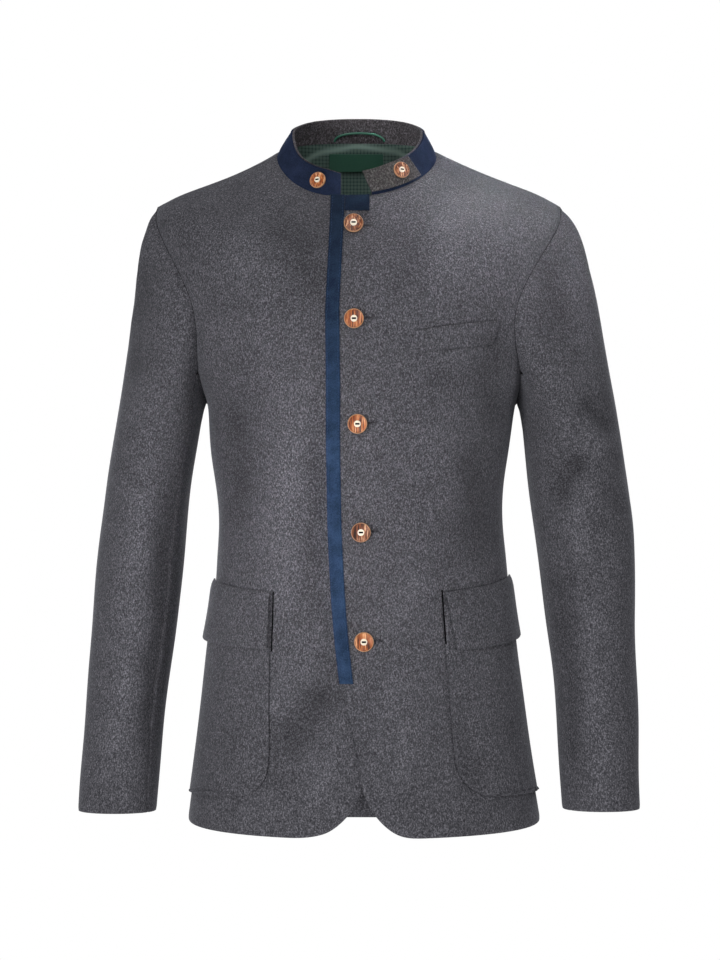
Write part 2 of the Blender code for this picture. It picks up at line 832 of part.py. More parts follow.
def make_collar_outer(root):
    outer = collar_grid(LEFT_COLLAR_END, RIGHT_COLLAR_END, 1.0, 0.0)
    inner = collar_grid(LEFT_COLLAR_END, RIGHT_COLLAR_END, 1.0, COLLAR_WALL)
    return sheet_object("collar_outer", outer, inner, "suede", root)


def make_collar_inner(root):
    near = COLLAR_WALL + COLLAR_GAP
    far = near + COLLAR_WALL
    outer = collar_grid(LEFT_COLLAR_END, RIGHT_COLLAR_END, 1.03, near)
    inner = collar_grid(LEFT_COLLAR_END, RIGHT_COLLAR_END, 1.03, far)
    return sheet_object("collar_inner", outer, inner, "loden", root)


def tab_grid(depth):
    grid = []
    for row in range(TAB["rows"] + 1):
        share = row / TAB["rows"]
        rise = TAB["low"] + (TAB["high"] - TAB["low"]) * share
        start = TAB["free_bottom"] + (TAB["free_top"] - TAB["free_bottom"]) * share
        end = TAB["fixed_bottom"] + (TAB["fixed_top"] - TAB["fixed_bottom"]) * share
        line = []
        for column in range(TAB["columns"] + 1):
            along = column / TAB["columns"]
            turn = start + (end - start) * along
            free = (1.0 - along) ** 2
            lift = (TAB["lift"] + TAB["free_lift"] * free) * MM
            line.append(collar_point(turn, rise, lift + depth))
        grid.append(line)
    return grid


def make_collar_tab(root):
    return sheet_object("collar_tab", tab_grid(WALL), tab_grid(0.0), "loden", root)


def left_front_surface(turn, level, out):
    x = bare_torso(turn, level)[0]
    return torso_point(turn, level, LAP * lap_share(x) + out)


def trim_grid(out):
    grid = []
    levels = [level for level in body_levels() if level > 2.4]
    first = level_at_z(TRIM_BOTTOM, -8.0)
    for level in [first] + levels:
        z_front = sample_rows(RINGS, level)[0] * MM
        edge = edge_x(LEFT_FRONT_EDGE, z_front)
        line = []
        for share in (0.0, 0.5, 1.0):
            turn = turn_at_x(edge + TRIM_WIDTH * share, level)
            line.append(left_front_surface(turn, level, out))
        grid.append(line)
    return grid


def make_front_trim(root):
    outer = tighten(trim_grid(0.4 * MM + THIN), (0.0, SEAM, 0.0, 0.0))
    inner = tighten(trim_grid(0.4 * MM), (0.0, SEAM, 0.0, 0.0))
    return sheet_object("front_trim", outer, inner, "suede", root)


def neck_trim_grid(out):
    grid = []
    low = level_at_z((RINGS[LEVEL_NECK][0] - NECK_TRIM["height"]) * MM, 0.0)
    for level in np.linspace(low, LEVEL_NECK, 4):
        z_front = sample_rows(RINGS, level)[0] * MM
        start = edge_x(LEFT_FRONT_EDGE, z_front) + TRIM_WIDTH + 0.3 * MM
        end = NECK_TRIM["x_end"] * MM
        line = []
        for share in np.linspace(0.0, 1.0, 4):
            turn = turn_at_x(start + (end - start) * share, level)
            line.append(left_front_surface(turn, level, out))
        grid.append(line)
    return grid


def make_neck_trim(root):
    outer = tighten(neck_trim_grid(0.4 * MM + THIN), (0.0, SEAM, 0.0, 0.0))
    inner = tighten(neck_trim_grid(0.4 * MM), (0.0, SEAM, 0.0, 0.0))
    return sheet_object("neck_trim", outer, inner, "suede", root)


def pocket_edge(size, z):
    """Inner edge of a pocket with its rounded lower corner, in mm."""
    share = (z - size["z_bottom"]) / (size["z_top"] - size["z_bottom"])
    x = size["x_low"] + (size["x_top"] - size["x_low"]) * share
    corner = size["corner"]
    above = z - size["z_bottom"]
    if above < corner:
        rest = corner - above
        inset = corner - math.sqrt(max(corner * corner - rest * rest, 0.0))
        x += math.copysign(inset, size["x_top"])
    return x


def pocket_grid(size, out):
    corner = size["corner"]
    heights = [size["z_bottom"] + corner * step for step in (0.0, 0.03, 0.12, 0.3, 0.6, 1.0)]
    top = size["z_top"]
    for step in range(1, POCKET_ROWS + 1):
        heights.append(heights[5] + (top - heights[5]) * step / POCKET_ROWS)
    grid = []
    for z in heights:
        share = (z - size["z_bottom"]) / (size["z_top"] - size["z_bottom"])
        z_end = size["z_bottom_out"] + (size["z_top_out"] - size["z_bottom_out"]) * share
        start, level = torso_place(pocket_edge(size, z) * MM, z * MM)
        line = []
        for column in range(POCKET_COLUMNS + 1):
            part = column / POCKET_COLUMNS
            turn = start + (size["end"] - start) * part
            height = (z + (z_end - z) * part) * MM
            line.append(torso_point(turn, level_at_z(height, turn), out))
        grid.append(line)
    return grid


def make_pocket(name, side, root):
    size = POCKETS[side]
    outer = pocket_grid(size, LAY + WALL)
    inner = pocket_grid(size, LAY)
    return sheet_object(name, outer, inner, "loden", root)


def flap_grid(size, out):
    grid = []
    for share in FLAP_SHARES:
        x = size["x_low"] + (size["x_top"] - size["x_low"]) * share
        z = size["z_bottom"] + (size["z_top"] - size["z_bottom"]) * share
        z_end = size["z_bottom_out"] + (size["z_top_out"] - size["z_bottom_out"]) * share
        end = size["end_low"] + (size["end_top"] - size["end_low"]) * share
        start, level = torso_place(x * MM, z * MM)
        base = LAY + WALL + LAY if share < 1.0 else FLAP_SEAM
        lift = base + 1.6 * (1.0 - share) ** 2 * MM
        line = []
        for column in range(POCKET_COLUMNS + 1):
            part = column / POCKET_COLUMNS
            turn = start + (end - start) * part
            height = (z + (z_end - z) * part) * MM
            rise = lift + 1.6 * MM * (1.0 - share) * part ** 4
            line.append(torso_point(turn, level_at_z(height, turn), out + rise))
        grid.append(line)
    return grid


def make_flap(name, side, root):
    size = FLAPS[side]
    outer = flap_grid(size, WALL)
    inner = flap_grid(size, 0.0)
    return sheet_object(name, outer, inner, "loden", root)


def welt_grid(out):
    grid = []
    for row in range(4):
        share = row / 3.0
        line = []
        for column in range(7):
            place = column / 3.0
            x_low, z_low, x_top, z_top = sample_rows(WELT, place)
            x = (x_low + (x_top - x_low) * share) * MM
            z = (z_low + (z_top - z_low) * share) * MM
            turn, level = torso_place(x, z)
            line.append(left_front_surface(turn, level, out))
        grid.append(line)
    return grid


def make_breast_welt(root):
    outer = welt_grid(LAY + 1.4 * MM)
    inner = welt_grid(LAY)
    return sheet_object("breast_welt", outer, inner, "loden", root)


def make_button(name, foot, normal, scale, root):
    """Turned button with a rim, a dish and a raised middle."""
    radius = BUTTON["radius"] * MM * scale
    height = BUTTON["height"] * MM * scale
    profile = (
        (0.0, 0.0),
        (0.80, 0.0),
        (0.97, 0.30),
        (1.0, 0.62),
        (0.93, 0.92),
        (0.84, 0.86),
        (0.42, 0.66),
        (0.34, 0.96),
        (0.0, 1.0),
    )
    axis = unit(normal)
    side = unit(np.cross(axis, np.array((0.0, 0.0, 1.0))))
    up = np.cross(side, axis)
    shell = bmesh.new()
    rings = []
    for reach, rise in profile:
        centre = foot + axis * height * rise
        if reach == 0.0:
            rings.append([shell.verts.new(centre)])
            continue
        ring = []
        for step in range(BUTTON["sides"]):
            turn = 2.0 * math.pi * step / BUTTON["sides"]
            spoke = side * math.cos(turn) + up * math.sin(turn)
            ring.append(shell.verts.new(centre + spoke * radius * reach))
        rings.append(ring)
    for low, high in zip(rings[:-1], rings[1:]):
        for step in range(BUTTON["sides"]):
            after = (step + 1) % BUTTON["sides"]
            if len(low) == 1:
                corners = (low[0], high[step], high[after])
            elif len(high) == 1:
                corners = (low[step], high[0], low[after])
            else:
                corners = (low[step], high[step], high[after], low[after])
            shell.faces.new(corners).smooth = True
    bmesh.ops.recalc_face_normals(shell, faces=shell.faces)
    mesh = bpy.data.meshes.new(name)
    shell.to_mesh(mesh)
    shell.free()
    item = bpy.data.objects.new(name, mesh)
    bpy.context.scene.collection.objects.link(item)
    item.data.materials.append(make_material(name + "_horn", "horn"))
    item.parent = root
    return item


def hanging_axis(normal):
    """Axis of a button that hangs on its thread, and how far it turns from the cloth."""
    ahead = np.array((0.0, -1.0, 0.0))
    lean = math.acos(min(float(np.dot(normal, ahead)), 1.0))
    swing = min(lean, math.radians(BUTTON_SWING))
    sideways = unit(ahead - normal * np.dot(normal, ahead))
    return normal * math.cos(swing) + sideways * math.sin(swing), swing


def make_front_buttons(root):
    for index, (x, z) in enumerate(FRONT_BUTTONS):
        turn, level = torso_place(x * MM, z * MM)
        axis, swing = hanging_axis(bare_normal(turn, level))
        low_rim = BUTTON["radius"] * 1.06 * math.sin(swing) - BUTTON["height"] * 0.3
        stand = BUTTON_STAND + max(low_rim, 0.0) * MM
        foot = left_front_surface(turn, level, stand)
        make_button("button_%d" % (index + 1), foot, axis, 1.0, root)


def collar_normal(turn, rise):
    around = collar_point(turn + 1.0, rise) - collar_point(turn - 1.0, rise)
    upward = collar_point(turn, rise + 0.1) - collar_point(turn, rise - 0.1)
    return unit(np.cross(around, upward))


def make_collar_buttons(root):
    for name, spot in (("collar_button", COLLAR_BUTTON), ("tab_button", TAB_BUTTON)):
        normal = collar_normal(spot["turn"], spot["up"])
        foot = collar_point(spot["turn"], spot["up"]) + normal * spot["stand"] * MM
        make_button(name, foot, normal, spot["scale"], root)


def make_hanger_loop(root):
    """Cord bent into a low arch on the inside of the back neck."""
    shell = bmesh.new()
    spine = []
    for step in range(LOOP["steps"] + 1):
        share = step / LOOP["steps"]
        sweep = math.pi * share
        middle = (LOOP["x_right"] + LOOP["x_left"]) / 2.0
        half = (LOOP["x_left"] - LOOP["x_right"]) / 2.0
        x = (middle - half * math.cos(sweep)) * MM
        z = (LOOP["z_low"] + LOOP["rise"] * math.sin(sweep) ** 0.8) * MM
        low = abs(collar_point(180.0, 0.0)[1] - collar_point(180.0, 1.0)[1])
        turn = turn_at_x(x, LEVEL_NECK, True)
        base = collar_point(turn if turn <= 180.0 else turn - 360.0, 0.2)
        lean = low * (z / MM - LOOP["z_low"]) / 25.0
        y = base[1] - (2.0 * COLLAR_WALL + COLLAR_GAP) - LOOP["stand"] * MM - lean
        spine.append(np.array((x, y, z)))
    rings = []
    for index, centre in enumerate(spine):
        ahead = spine[min(index + 1, len(spine) - 1)]
        behind = spine[max(index - 1, 0)]
        forward = unit(ahead - behind)
        side = unit(np.cross(forward, np.array((0.0, 1.0, 0.0))))
        over = np.cross(side, forward)
        ring = []
        for step in range(LOOP["sides"]):
            turn = 2.0 * math.pi * step / LOOP["sides"]
            spoke = side * math.cos(turn) + over * math.sin(turn)
            ring.append(shell.verts.new(centre + spoke * LOOP["radius"] * MM))
        rings.append(ring)
    for low_ring, high_ring in zip(rings[:-1], rings[1:]):
        for step in range(LOOP["sides"]):
            after = (step + 1) % LOOP["sides"]
            corners = (low_ring[step], high_ring[step], high_ring[after], low_ring[after])
            shell.faces.new(corners).smooth = True
    shell.faces.new(rings[0])
    shell.faces.new(rings[-1])
    bmesh.ops.recalc_face_normals(shell, faces=shell.faces)
    mesh = bpy.data.meshes.new("hanger_loop")
    shell.to_mesh(mesh)
    shell.free()
    item = bpy.data.objects.new("hanger_loop", mesh)
    bpy.context.scene.collection.objects.link(item)
    item.data.materials.append(make_material("hanger_loop_cord", "cord"))
    item.parent = root
    return item


def lining_grid(depth):
    """Inner copy of the middle columns of the back."""
    skip = LINING["skip"]
    grid = []
    for row, level in enumerate(body_levels()):
        if level < LINING["low"]:
            continue
        start = panel_side_turn("left", row, False)
        end = panel_side_turn("right", row, False) + 360.0
        line = []
        for column in range(skip, BACK_COLUMNS - skip + 1):
            turn = start + (end - start) * column / BACK_COLUMNS
            line.append(torso_point(turn, level, -depth))
        grid.append(line)
    return tighten(grid, (0.0, SEAM, 0.0, 0.0))


def make_back_lining(root):
    near = WALL + 1.0 * MM
    outer = lining_grid(near)
    inner = lining_grid(near + THIN)
    return sheet_object("back_lining", outer, inner, "lining", root)


def label_grid(depth):
    grid = []
    for row in range(LABEL["rows"] + 1):
        z = LABEL["z_low"] + (LABEL["z_top"] - LABEL["z_low"]) * row / LABEL["rows"]
        line = []
        for column in range(LABEL["columns"] + 1):
            share = column / LABEL["columns"]
            x = LABEL["x_left"] + (LABEL["x_right"] - LABEL["x_left"]) * share
            turn, level = torso_place(x * MM, z * MM, True)
            line.append(torso_point(turn, level, -depth))
        grid.append(line)
    return grid


def make_neck_label(root):
    near = WALL + 1.0 * MM + THIN + 0.8 * MM
    return sheet_object("neck_label", label_grid(near), label_grid(near + 0.9 * MM), "label", root)


def build():
    clear_scene()
    root = bpy.data.objects.new("jacket", None)
    bpy.context.scene.collection.objects.link(root)
    make_front("front_right", "right", RIGHT_FRONT_EDGE, -LAP, root)
    make_front("front_left", "left", LEFT_FRONT_EDGE, LAP, root)
    make_back(root)
    for side in ("right", "left"):
        make_sleeve_half("sleeve_top_" + side, side, FRONT_ARM_SEAM, BACK_ARM_SEAM, root)
        make_sleeve_half("sleeve_under_" + side, side, BACK_ARM_SEAM, FRONT_ARM_SEAM + 360.0, root)
        make_pocket("pocket_" + side, side, root)
        make_flap("flap_" + side, side, root)
    make_collar_outer(root)
    make_collar_inner(root)
    make_collar_tab(root)
    make_front_trim(root)
    make_neck_trim(root)
    make_breast_welt(root)
    make_front_buttons(root)
    make_collar_buttons(root)
    make_hanger_loop(root)
    make_back_lining(root)
    make_neck_label(root)


build()
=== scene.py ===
import math
import random

import bmesh
import bpy
import numpy as np
from mathutils import Matrix, Vector
from mathutils.bvhtree import BVHTree
from mathutils.kdtree import KDTree


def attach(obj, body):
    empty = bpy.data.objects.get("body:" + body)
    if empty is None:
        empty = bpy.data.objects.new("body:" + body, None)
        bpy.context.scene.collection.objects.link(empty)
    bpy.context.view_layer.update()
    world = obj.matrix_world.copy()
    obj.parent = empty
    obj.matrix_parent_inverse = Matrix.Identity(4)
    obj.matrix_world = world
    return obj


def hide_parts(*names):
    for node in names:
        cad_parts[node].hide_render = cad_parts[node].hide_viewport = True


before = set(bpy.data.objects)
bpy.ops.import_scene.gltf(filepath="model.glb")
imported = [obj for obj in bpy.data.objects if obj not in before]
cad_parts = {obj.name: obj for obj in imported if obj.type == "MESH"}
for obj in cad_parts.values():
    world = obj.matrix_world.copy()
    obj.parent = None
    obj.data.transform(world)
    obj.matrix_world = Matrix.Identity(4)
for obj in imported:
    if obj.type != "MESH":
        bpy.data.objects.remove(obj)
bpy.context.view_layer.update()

mm = 0.001
scene = bpy.context.scene


# an sRGB hex code as linear light
def linear(code):
    values = []
    for at in (1, 3, 5):
        part = int(code[at:at + 2], 16) / 255.0
        values.append(part / 12.92 if part <= 0.04045 else ((part + 0.055) / 1.055) ** 2.4)
    return (*values, 1.0)


# how often a pattern of a size in mm comes in a metre
def perMetre(size):
    return 1.0 / (size * mm)


# adds a node with its settings, values and links; stops are the places and tones of a ramp
def addNode(tree, kind, settings=None, values=None, links=None, stops=()):
    node = tree.nodes.new("ShaderNode" + kind)
    for name, value in (settings or {}).items():
        setattr(node, name, value)
    for name, value in (values or {}).items():
        node.inputs[name].default_value = value
    for name, source in (links or {}).items():
        tree.links.new(source, node.inputs[name])
    if stops:
        items = node.color_ramp.elements
        while len(items) < len(stops):
            items.new(0.5)
        for item, (place, tone) in zip(items, stops):
            item.position = place
            item.color = linear(tone) if isinstance(tone, str) else (tone, tone, tone, 1.0)
    return node


def newMaterial(name, values):
    made = bpy.data.materials.new(name)
    made.use_nodes = True
    shader = made.node_tree.nodes["Principled BSDF"]
    for key, value in values.items():
        shader.inputs[key].default_value = value
    return made, made.node_tree, shader


plus = {"operation": "ADD"}
minus = {"operation": "SUBTRACT"}
times = {"operation": "MULTIPLY"}
darken = {"data_type": "RGBA", "blend_type": "MULTIPLY"}


def meanOf(tree, first, second):
    both = addNode(tree, "Math", plus, links={0: first, 1: second})
    return addNode(tree, "Math", times, {1: 0.5}, {0: both.outputs[0]}).outputs[0]


# gives a shader its colour, and a relief that is so many mm deep
def dress(tree, shader, colour, relief, strength, deep):
    tree.links.new(colour, shader.inputs["Base Color"])
    bump = addNode(tree, "Bump", values={"Strength": strength, "Distance": deep * mm},
                   links={"Height": relief})
    tree.links.new(bump.outputs["Normal"], shader.inputs["Normal"])


# loden: carded wool, woven, felted and brushed, of light and dark fibres mixed in the yarn;
# matt, with specks, short hairs and a soft pale bloom at the edges. Sizes are in mm, and the
# fibres, which are finer, are drawn as coarse as they need to show
lodenLook = {
    "dark": "#36353a", "middle": "#505055", "pale": "#817f87", "bloom": "#b9bcc6",
    "speck": 1.4706, "hair": 0.96712, "mottle": 29.412,
}
# the reverse of the same cloth: less brushed, with coarser specks, and browner
reverseLook = {**lodenLook, "dark": "#3b393b", "middle": "#575356", "pale": "#88838a",
               "speck": 1.6129, "hair": 1.0823}
# the chin tab: the same cloth in darker tones, as painted shade
tabShadedLook = {**reverseLook, "dark": "#302e2e", "middle": "#474545", "pale": "#6f6c6c"}


def lodenCloth(name, look):
    made, tree, shader = newMaterial(name, {
        "Roughness": 0.92, "Specular IOR Level": 0.12, "Sheen Weight": 0.22,
        "Sheen Roughness": 0.45, "Sheen Tint": linear(look["bloom"])})
    where = addNode(tree, "TexCoord").outputs["Object"]
    speck = addNode(tree, "TexNoise", values={
        "Scale": perMetre(look["speck"]), "Detail": 2.0, "Roughness": 0.6},
        links={"Vector": where})
    # hairs lie mostly up and down
    stretch = addNode(tree, "Mapping", values={
        "Rotation": (0.3, 0.5, 0.2), "Scale": (0.8, 1.0, 0.4)}, links={"Vector": where})
    hair = addNode(tree, "TexNoise", values={
        "Scale": perMetre(look["hair"]), "Detail": 1.0, "Distortion": 0.6},
        links={"Vector": stretch.outputs["Vector"]})
    mottle = addNode(tree, "TexNoise", values={
        "Scale": perMetre(look["mottle"]), "Detail": 2.0}, links={"Vector": where})
    mean = meanOf(tree, speck.outputs["Fac"], hair.outputs["Fac"])
    tone = addNode(tree, "ValToRGB", links={"Fac": mean}, stops=[
        (0.36, look["dark"]), (0.50, look["middle"]), (0.64, look["pale"])])
    cloud = addNode(tree, "ValToRGB", links={"Fac": mottle.outputs["Fac"]},
                    stops=[(0.3, 0.90), (0.7, 1.06)])
    shade = addNode(tree, "Mix", darken, {0: 1.0},
                    {6: tone.outputs["Color"], 7: cloud.outputs["Color"]})
    # painted shade and light: the loden is darker in the troughs of folds and paler on their
    # ridges
    paintedFoldShade = addNode(tree, "Attribute", {"attribute_name": "paintedFoldShade"})
    foldShade = addNode(tree, "ValToRGB", links={"Fac": paintedFoldShade.outputs["Fac"]},
                   stops=[(0.0, 0.52), (0.5, 0.79), (1.0, 1.0)])
    foldShadedTone = addNode(tree, "Mix", darken, {0: 1.0},
                     {6: shade.outputs[2], 7: foldShade.outputs["Color"]})
    dress(tree, shader, foldShadedTone.outputs[2], mean, strength=0.5, deep=0.6)
    return made


# suede cloth: calf suede finish on a woven blue ground, cut on the straight and brushed down;
# flat and deep in colour, with faint paler strokes of the nap, and painted shade toward the neck.
# Sizes are in mm, and the nap, which is finer, is drawn as coarse as it needs to show. From the
# height low up to the height high, the painted shade takes the colour from whole to halfway to
# neck
suedeLook = {
    "deep": "#1c2b43", "pale": "#324764", "tint": "#6f86b4", "bloom": 0.3,
    "nap": 1.1111, "stroke": 14.286, "low": -360.0, "high": -60.0, "halfway": 0.74, "neck": 0.36,
}
# the collar is the same cloth in darker tones as painted shade, with less sheen and almost none of
# the painted shade toward the neck
collarShadedLook = {**suedeLook, "deep": "#151e31", "pale": "#252f48", "bloom": 0.16, "neck": 0.95}


def suedeCloth(name, look):
    made, tree, shader = newMaterial(name, {
        "Roughness": 0.9, "Specular IOR Level": 0.1, "Sheen Weight": look["bloom"],
        "Sheen Roughness": 0.4, "Sheen Tint": linear(look["tint"])})
    where = addNode(tree, "TexCoord").outputs["Object"]
    nap = addNode(tree, "TexNoise", values={
        "Scale": perMetre(look["nap"]), "Detail": 2.0}, links={"Vector": where})
    stroke = addNode(tree, "TexNoise", values={
        "Scale": perMetre(look["stroke"]), "Detail": 3.0}, links={"Vector": where})
    mean = meanOf(tree, nap.outputs["Fac"], stroke.outputs["Fac"])
    tone = addNode(tree, "ValToRGB", links={"Fac": mean},
                   stops=[(0.38, look["deep"]), (0.64, look["pale"])])
    # painted shade: the colour darkens with height, toward the neck
    height = addNode(tree, "SeparateXYZ", links={"Vector": where})
    rise = addNode(tree, "MapRange", values={
        "From Min": look["low"] * mm, "From Max": look["high"] * mm, "To Min": 0.0, "To Max": 1.0},
        links={"Value": height.outputs["Z"]})
    neckShade = addNode(tree, "ValToRGB", links={"Fac": rise.outputs[0]},
                      stops=[(0.0, 1.0), (0.45, look["halfway"]), (1.0, look["neck"])])
    shade = addNode(tree, "Mix", darken, {0: 1.0},
                    {6: tone.outputs["Color"], 7: neckShade.outputs["Color"]})
    dress(tree, shader, shade.outputs[2], nap.outputs["Fac"], strength=0.3, deep=0.3)
    return made


# button wood: yew or plum turned on a lathe and waxed, cut along the grain;
# orange or brown, with thin dark lines running up and down and a low shine; grain in mm
woodGrain = {"across": 1.5625, "drawnOut": 0.09}


def buttonWood(name, tones):
    made, tree, shader = newMaterial(name, {"Roughness": 0.42, "Specular IOR Level": 0.45})
    where = addNode(tree, "TexCoord").outputs["Object"]
    along = addNode(tree, "Mapping", values={
        "Scale": (1.0, 1.0, woodGrain["drawnOut"])}, links={"Vector": where})
    grain = addNode(tree, "TexNoise", values={
        "Scale": perMetre(woodGrain["across"]), "Detail": 4.0, "Distortion": 0.6},
        links={"Vector": along.outputs["Vector"]})
    tone = addNode(tree, "ValToRGB", links={"Fac": grain.outputs["Fac"]},
                   stops=list(zip((0.36, 0.45, 0.56, 0.68), tones)))
    dress(tree, shader, tone.outputs["Color"], grain.outputs["Fac"], strength=0.25, deep=0.2)
    return made


# lining: plain-woven green cupro with a dark check from dyed threads, pressed; smooth, with a
# painted highlight of satin light along one curved fold under the collar. Sizes are in mm: the
# arc of that highlight wanders by arcWander in waves of waveLong
liningLook = {
    "ground": "#667d75", "line": "#354b46", "satin": "#9db7ac", "check": 3.7736,
    "lineShare": 0.34, "arcMiddle": -89.5, "arcRadius": 105.5, "arcWidth": 5.5,
    "arcWander": 12.0, "waveLong": 45.455, "arcHighlight": 0.75,
}


def liningCloth(name, look):
    made, tree, shader = newMaterial(name, {"Roughness": 0.5, "Specular IOR Level": 0.4})
    where = addNode(tree, "TexCoord").outputs["Object"]
    parts = addNode(tree, "SeparateXYZ", links={"Vector": where})
    lines = []
    for axis in ("X", "Z"):
        checks = addNode(tree, "Math", times, {1: perMetre(look["check"])},
                         {0: parts.outputs[axis]})
        part = addNode(tree, "Math", {"operation": "FRACT"},
                       links={0: checks.outputs[0]})
        line = addNode(tree, "Math", {"operation": "LESS_THAN"}, {1: look["lineShare"]},
                       {0: part.outputs[0]})
        lines.append(line.outputs[0])
    tone = addNode(tree, "ValToRGB", links={"Fac": meanOf(tree, *lines)},
                   stops=[(0.0, look["ground"]), (1.0, look["line"])])
    # where the painted highlight lies: how far each point lies from the arc, seen from the front
    flat = addNode(tree, "VectorMath", times, {1: (1.0, 0.0, 1.0)}, {0: where})
    offset = addNode(tree, "VectorMath", minus,
                     {1: (0.0, 0.0, look["arcMiddle"] * mm)}, {0: flat.outputs[0]})
    reach = addNode(tree, "VectorMath", {"operation": "LENGTH"},
                    links={0: offset.outputs[0]})
    wave = addNode(tree, "TexNoise", values={
        "Scale": perMetre(look["waveLong"]), "Detail": 1.0}, links={"Vector": where})
    wander = look["arcWander"] * mm
    shift = addNode(tree, "Math", {"operation": "MULTIPLY_ADD"},
                    {1: wander, 2: -wander / 2.0}, {0: wave.outputs["Fac"]})
    bent = addNode(tree, "Math", plus,
                   links={0: reach.outputs["Value"], 1: shift.outputs[0]})
    away = addNode(tree, "Math", minus, {1: look["arcRadius"] * mm},
                   {0: bent.outputs[0]})
    apart = addNode(tree, "Math", {"operation": "ABSOLUTE"},
                    links={0: away.outputs[0]})
    near = addNode(tree, "MapRange", {"interpolation_type": "SMOOTHSTEP"}, {
        "From Min": look["arcWidth"] * mm, "From Max": 0.0, "To Min": 0.0,
        "To Max": look["arcHighlight"]}, {"Value": apart.outputs[0]})
    arcHighlighted = addNode(tree, "Mix", {"data_type": "RGBA"}, {7: linear(look["satin"])},
                    {0: near.outputs[0], 6: tone.outputs["Color"]})
    tree.links.new(arcHighlighted.outputs[2], shader.inputs["Base Color"])
    return made


def plainMaterial(name, code, roughness, shine, sheen=0.0):
    return newMaterial(name, {"Base Color": linear(code), "Roughness": roughness,
                              "Specular IOR Level": shine, "Sheen Weight": sheen})[0]


loden = lodenCloth("grey loden", lodenLook)
reverse = lodenCloth("grey loden reverse", reverseLook)
tabShadedLoden = lodenCloth("grey loden tab", tabShadedLook)
suede = suedeCloth("blue suede cloth", suedeLook)
collarShadedSuede = suedeCloth("blue suede cloth collar shade", collarShadedLook)
orangeWood = buttonWood("orange wood", ("#34160c", "#8a4420", "#b86a34", "#ecbf92"))
brownWood = buttonWood("brown wood", ("#220f08", "#62301b", "#8e512f", "#e2b68f"))
# rim of a button: the same wood, waxed; its paler colour is partly the wood and partly a painted
# highlight along the edge
woodRimHighlight = plainMaterial("button rim", "#c4926a", 0.4, 0.5)
brownRimHighlight = plainMaterial("brown button rim", "#b98a66", 0.4, 0.5)
# bone: cut plate, bleached and polished; off-white, a little shine
bone = plainMaterial("bone plate", "#f1e8d6", 0.4, 0.5)
# sewing thread: spun polyester on a core, dyed; matt
# the near-black thread material is also used as painted shade: in the buttonhole slits, the button
# holes, the armhole grooves and beside the flaps
darkThreadAndShade = plainMaterial("dark thread and shade", "#080709", 0.9, 0.05)
greyThread = plainMaterial("grey thread", "#2c2b30", 0.85, 0.15, 0.2)
blueThread = plainMaterial("blue thread", "#33496f", 0.7, 0.25)
# hanger cord: woven rayon satin tube; green, with a bright line along it
satin = plainMaterial("green satin cord", "#2c6a55", 0.35, 0.5)
lining = liningCloth("green check lining", liningLook)
# label: woven satin ribbon with its edges folded under; dark green and smooth
labelCloth = plainMaterial("green label cloth", "#3a6352", 0.55, 0.3)
# floor: painted board; pale and matt
floorPaint = plainMaterial("pale floor", "#f4f4f4", 0.9, 0.1)
print("materials made")


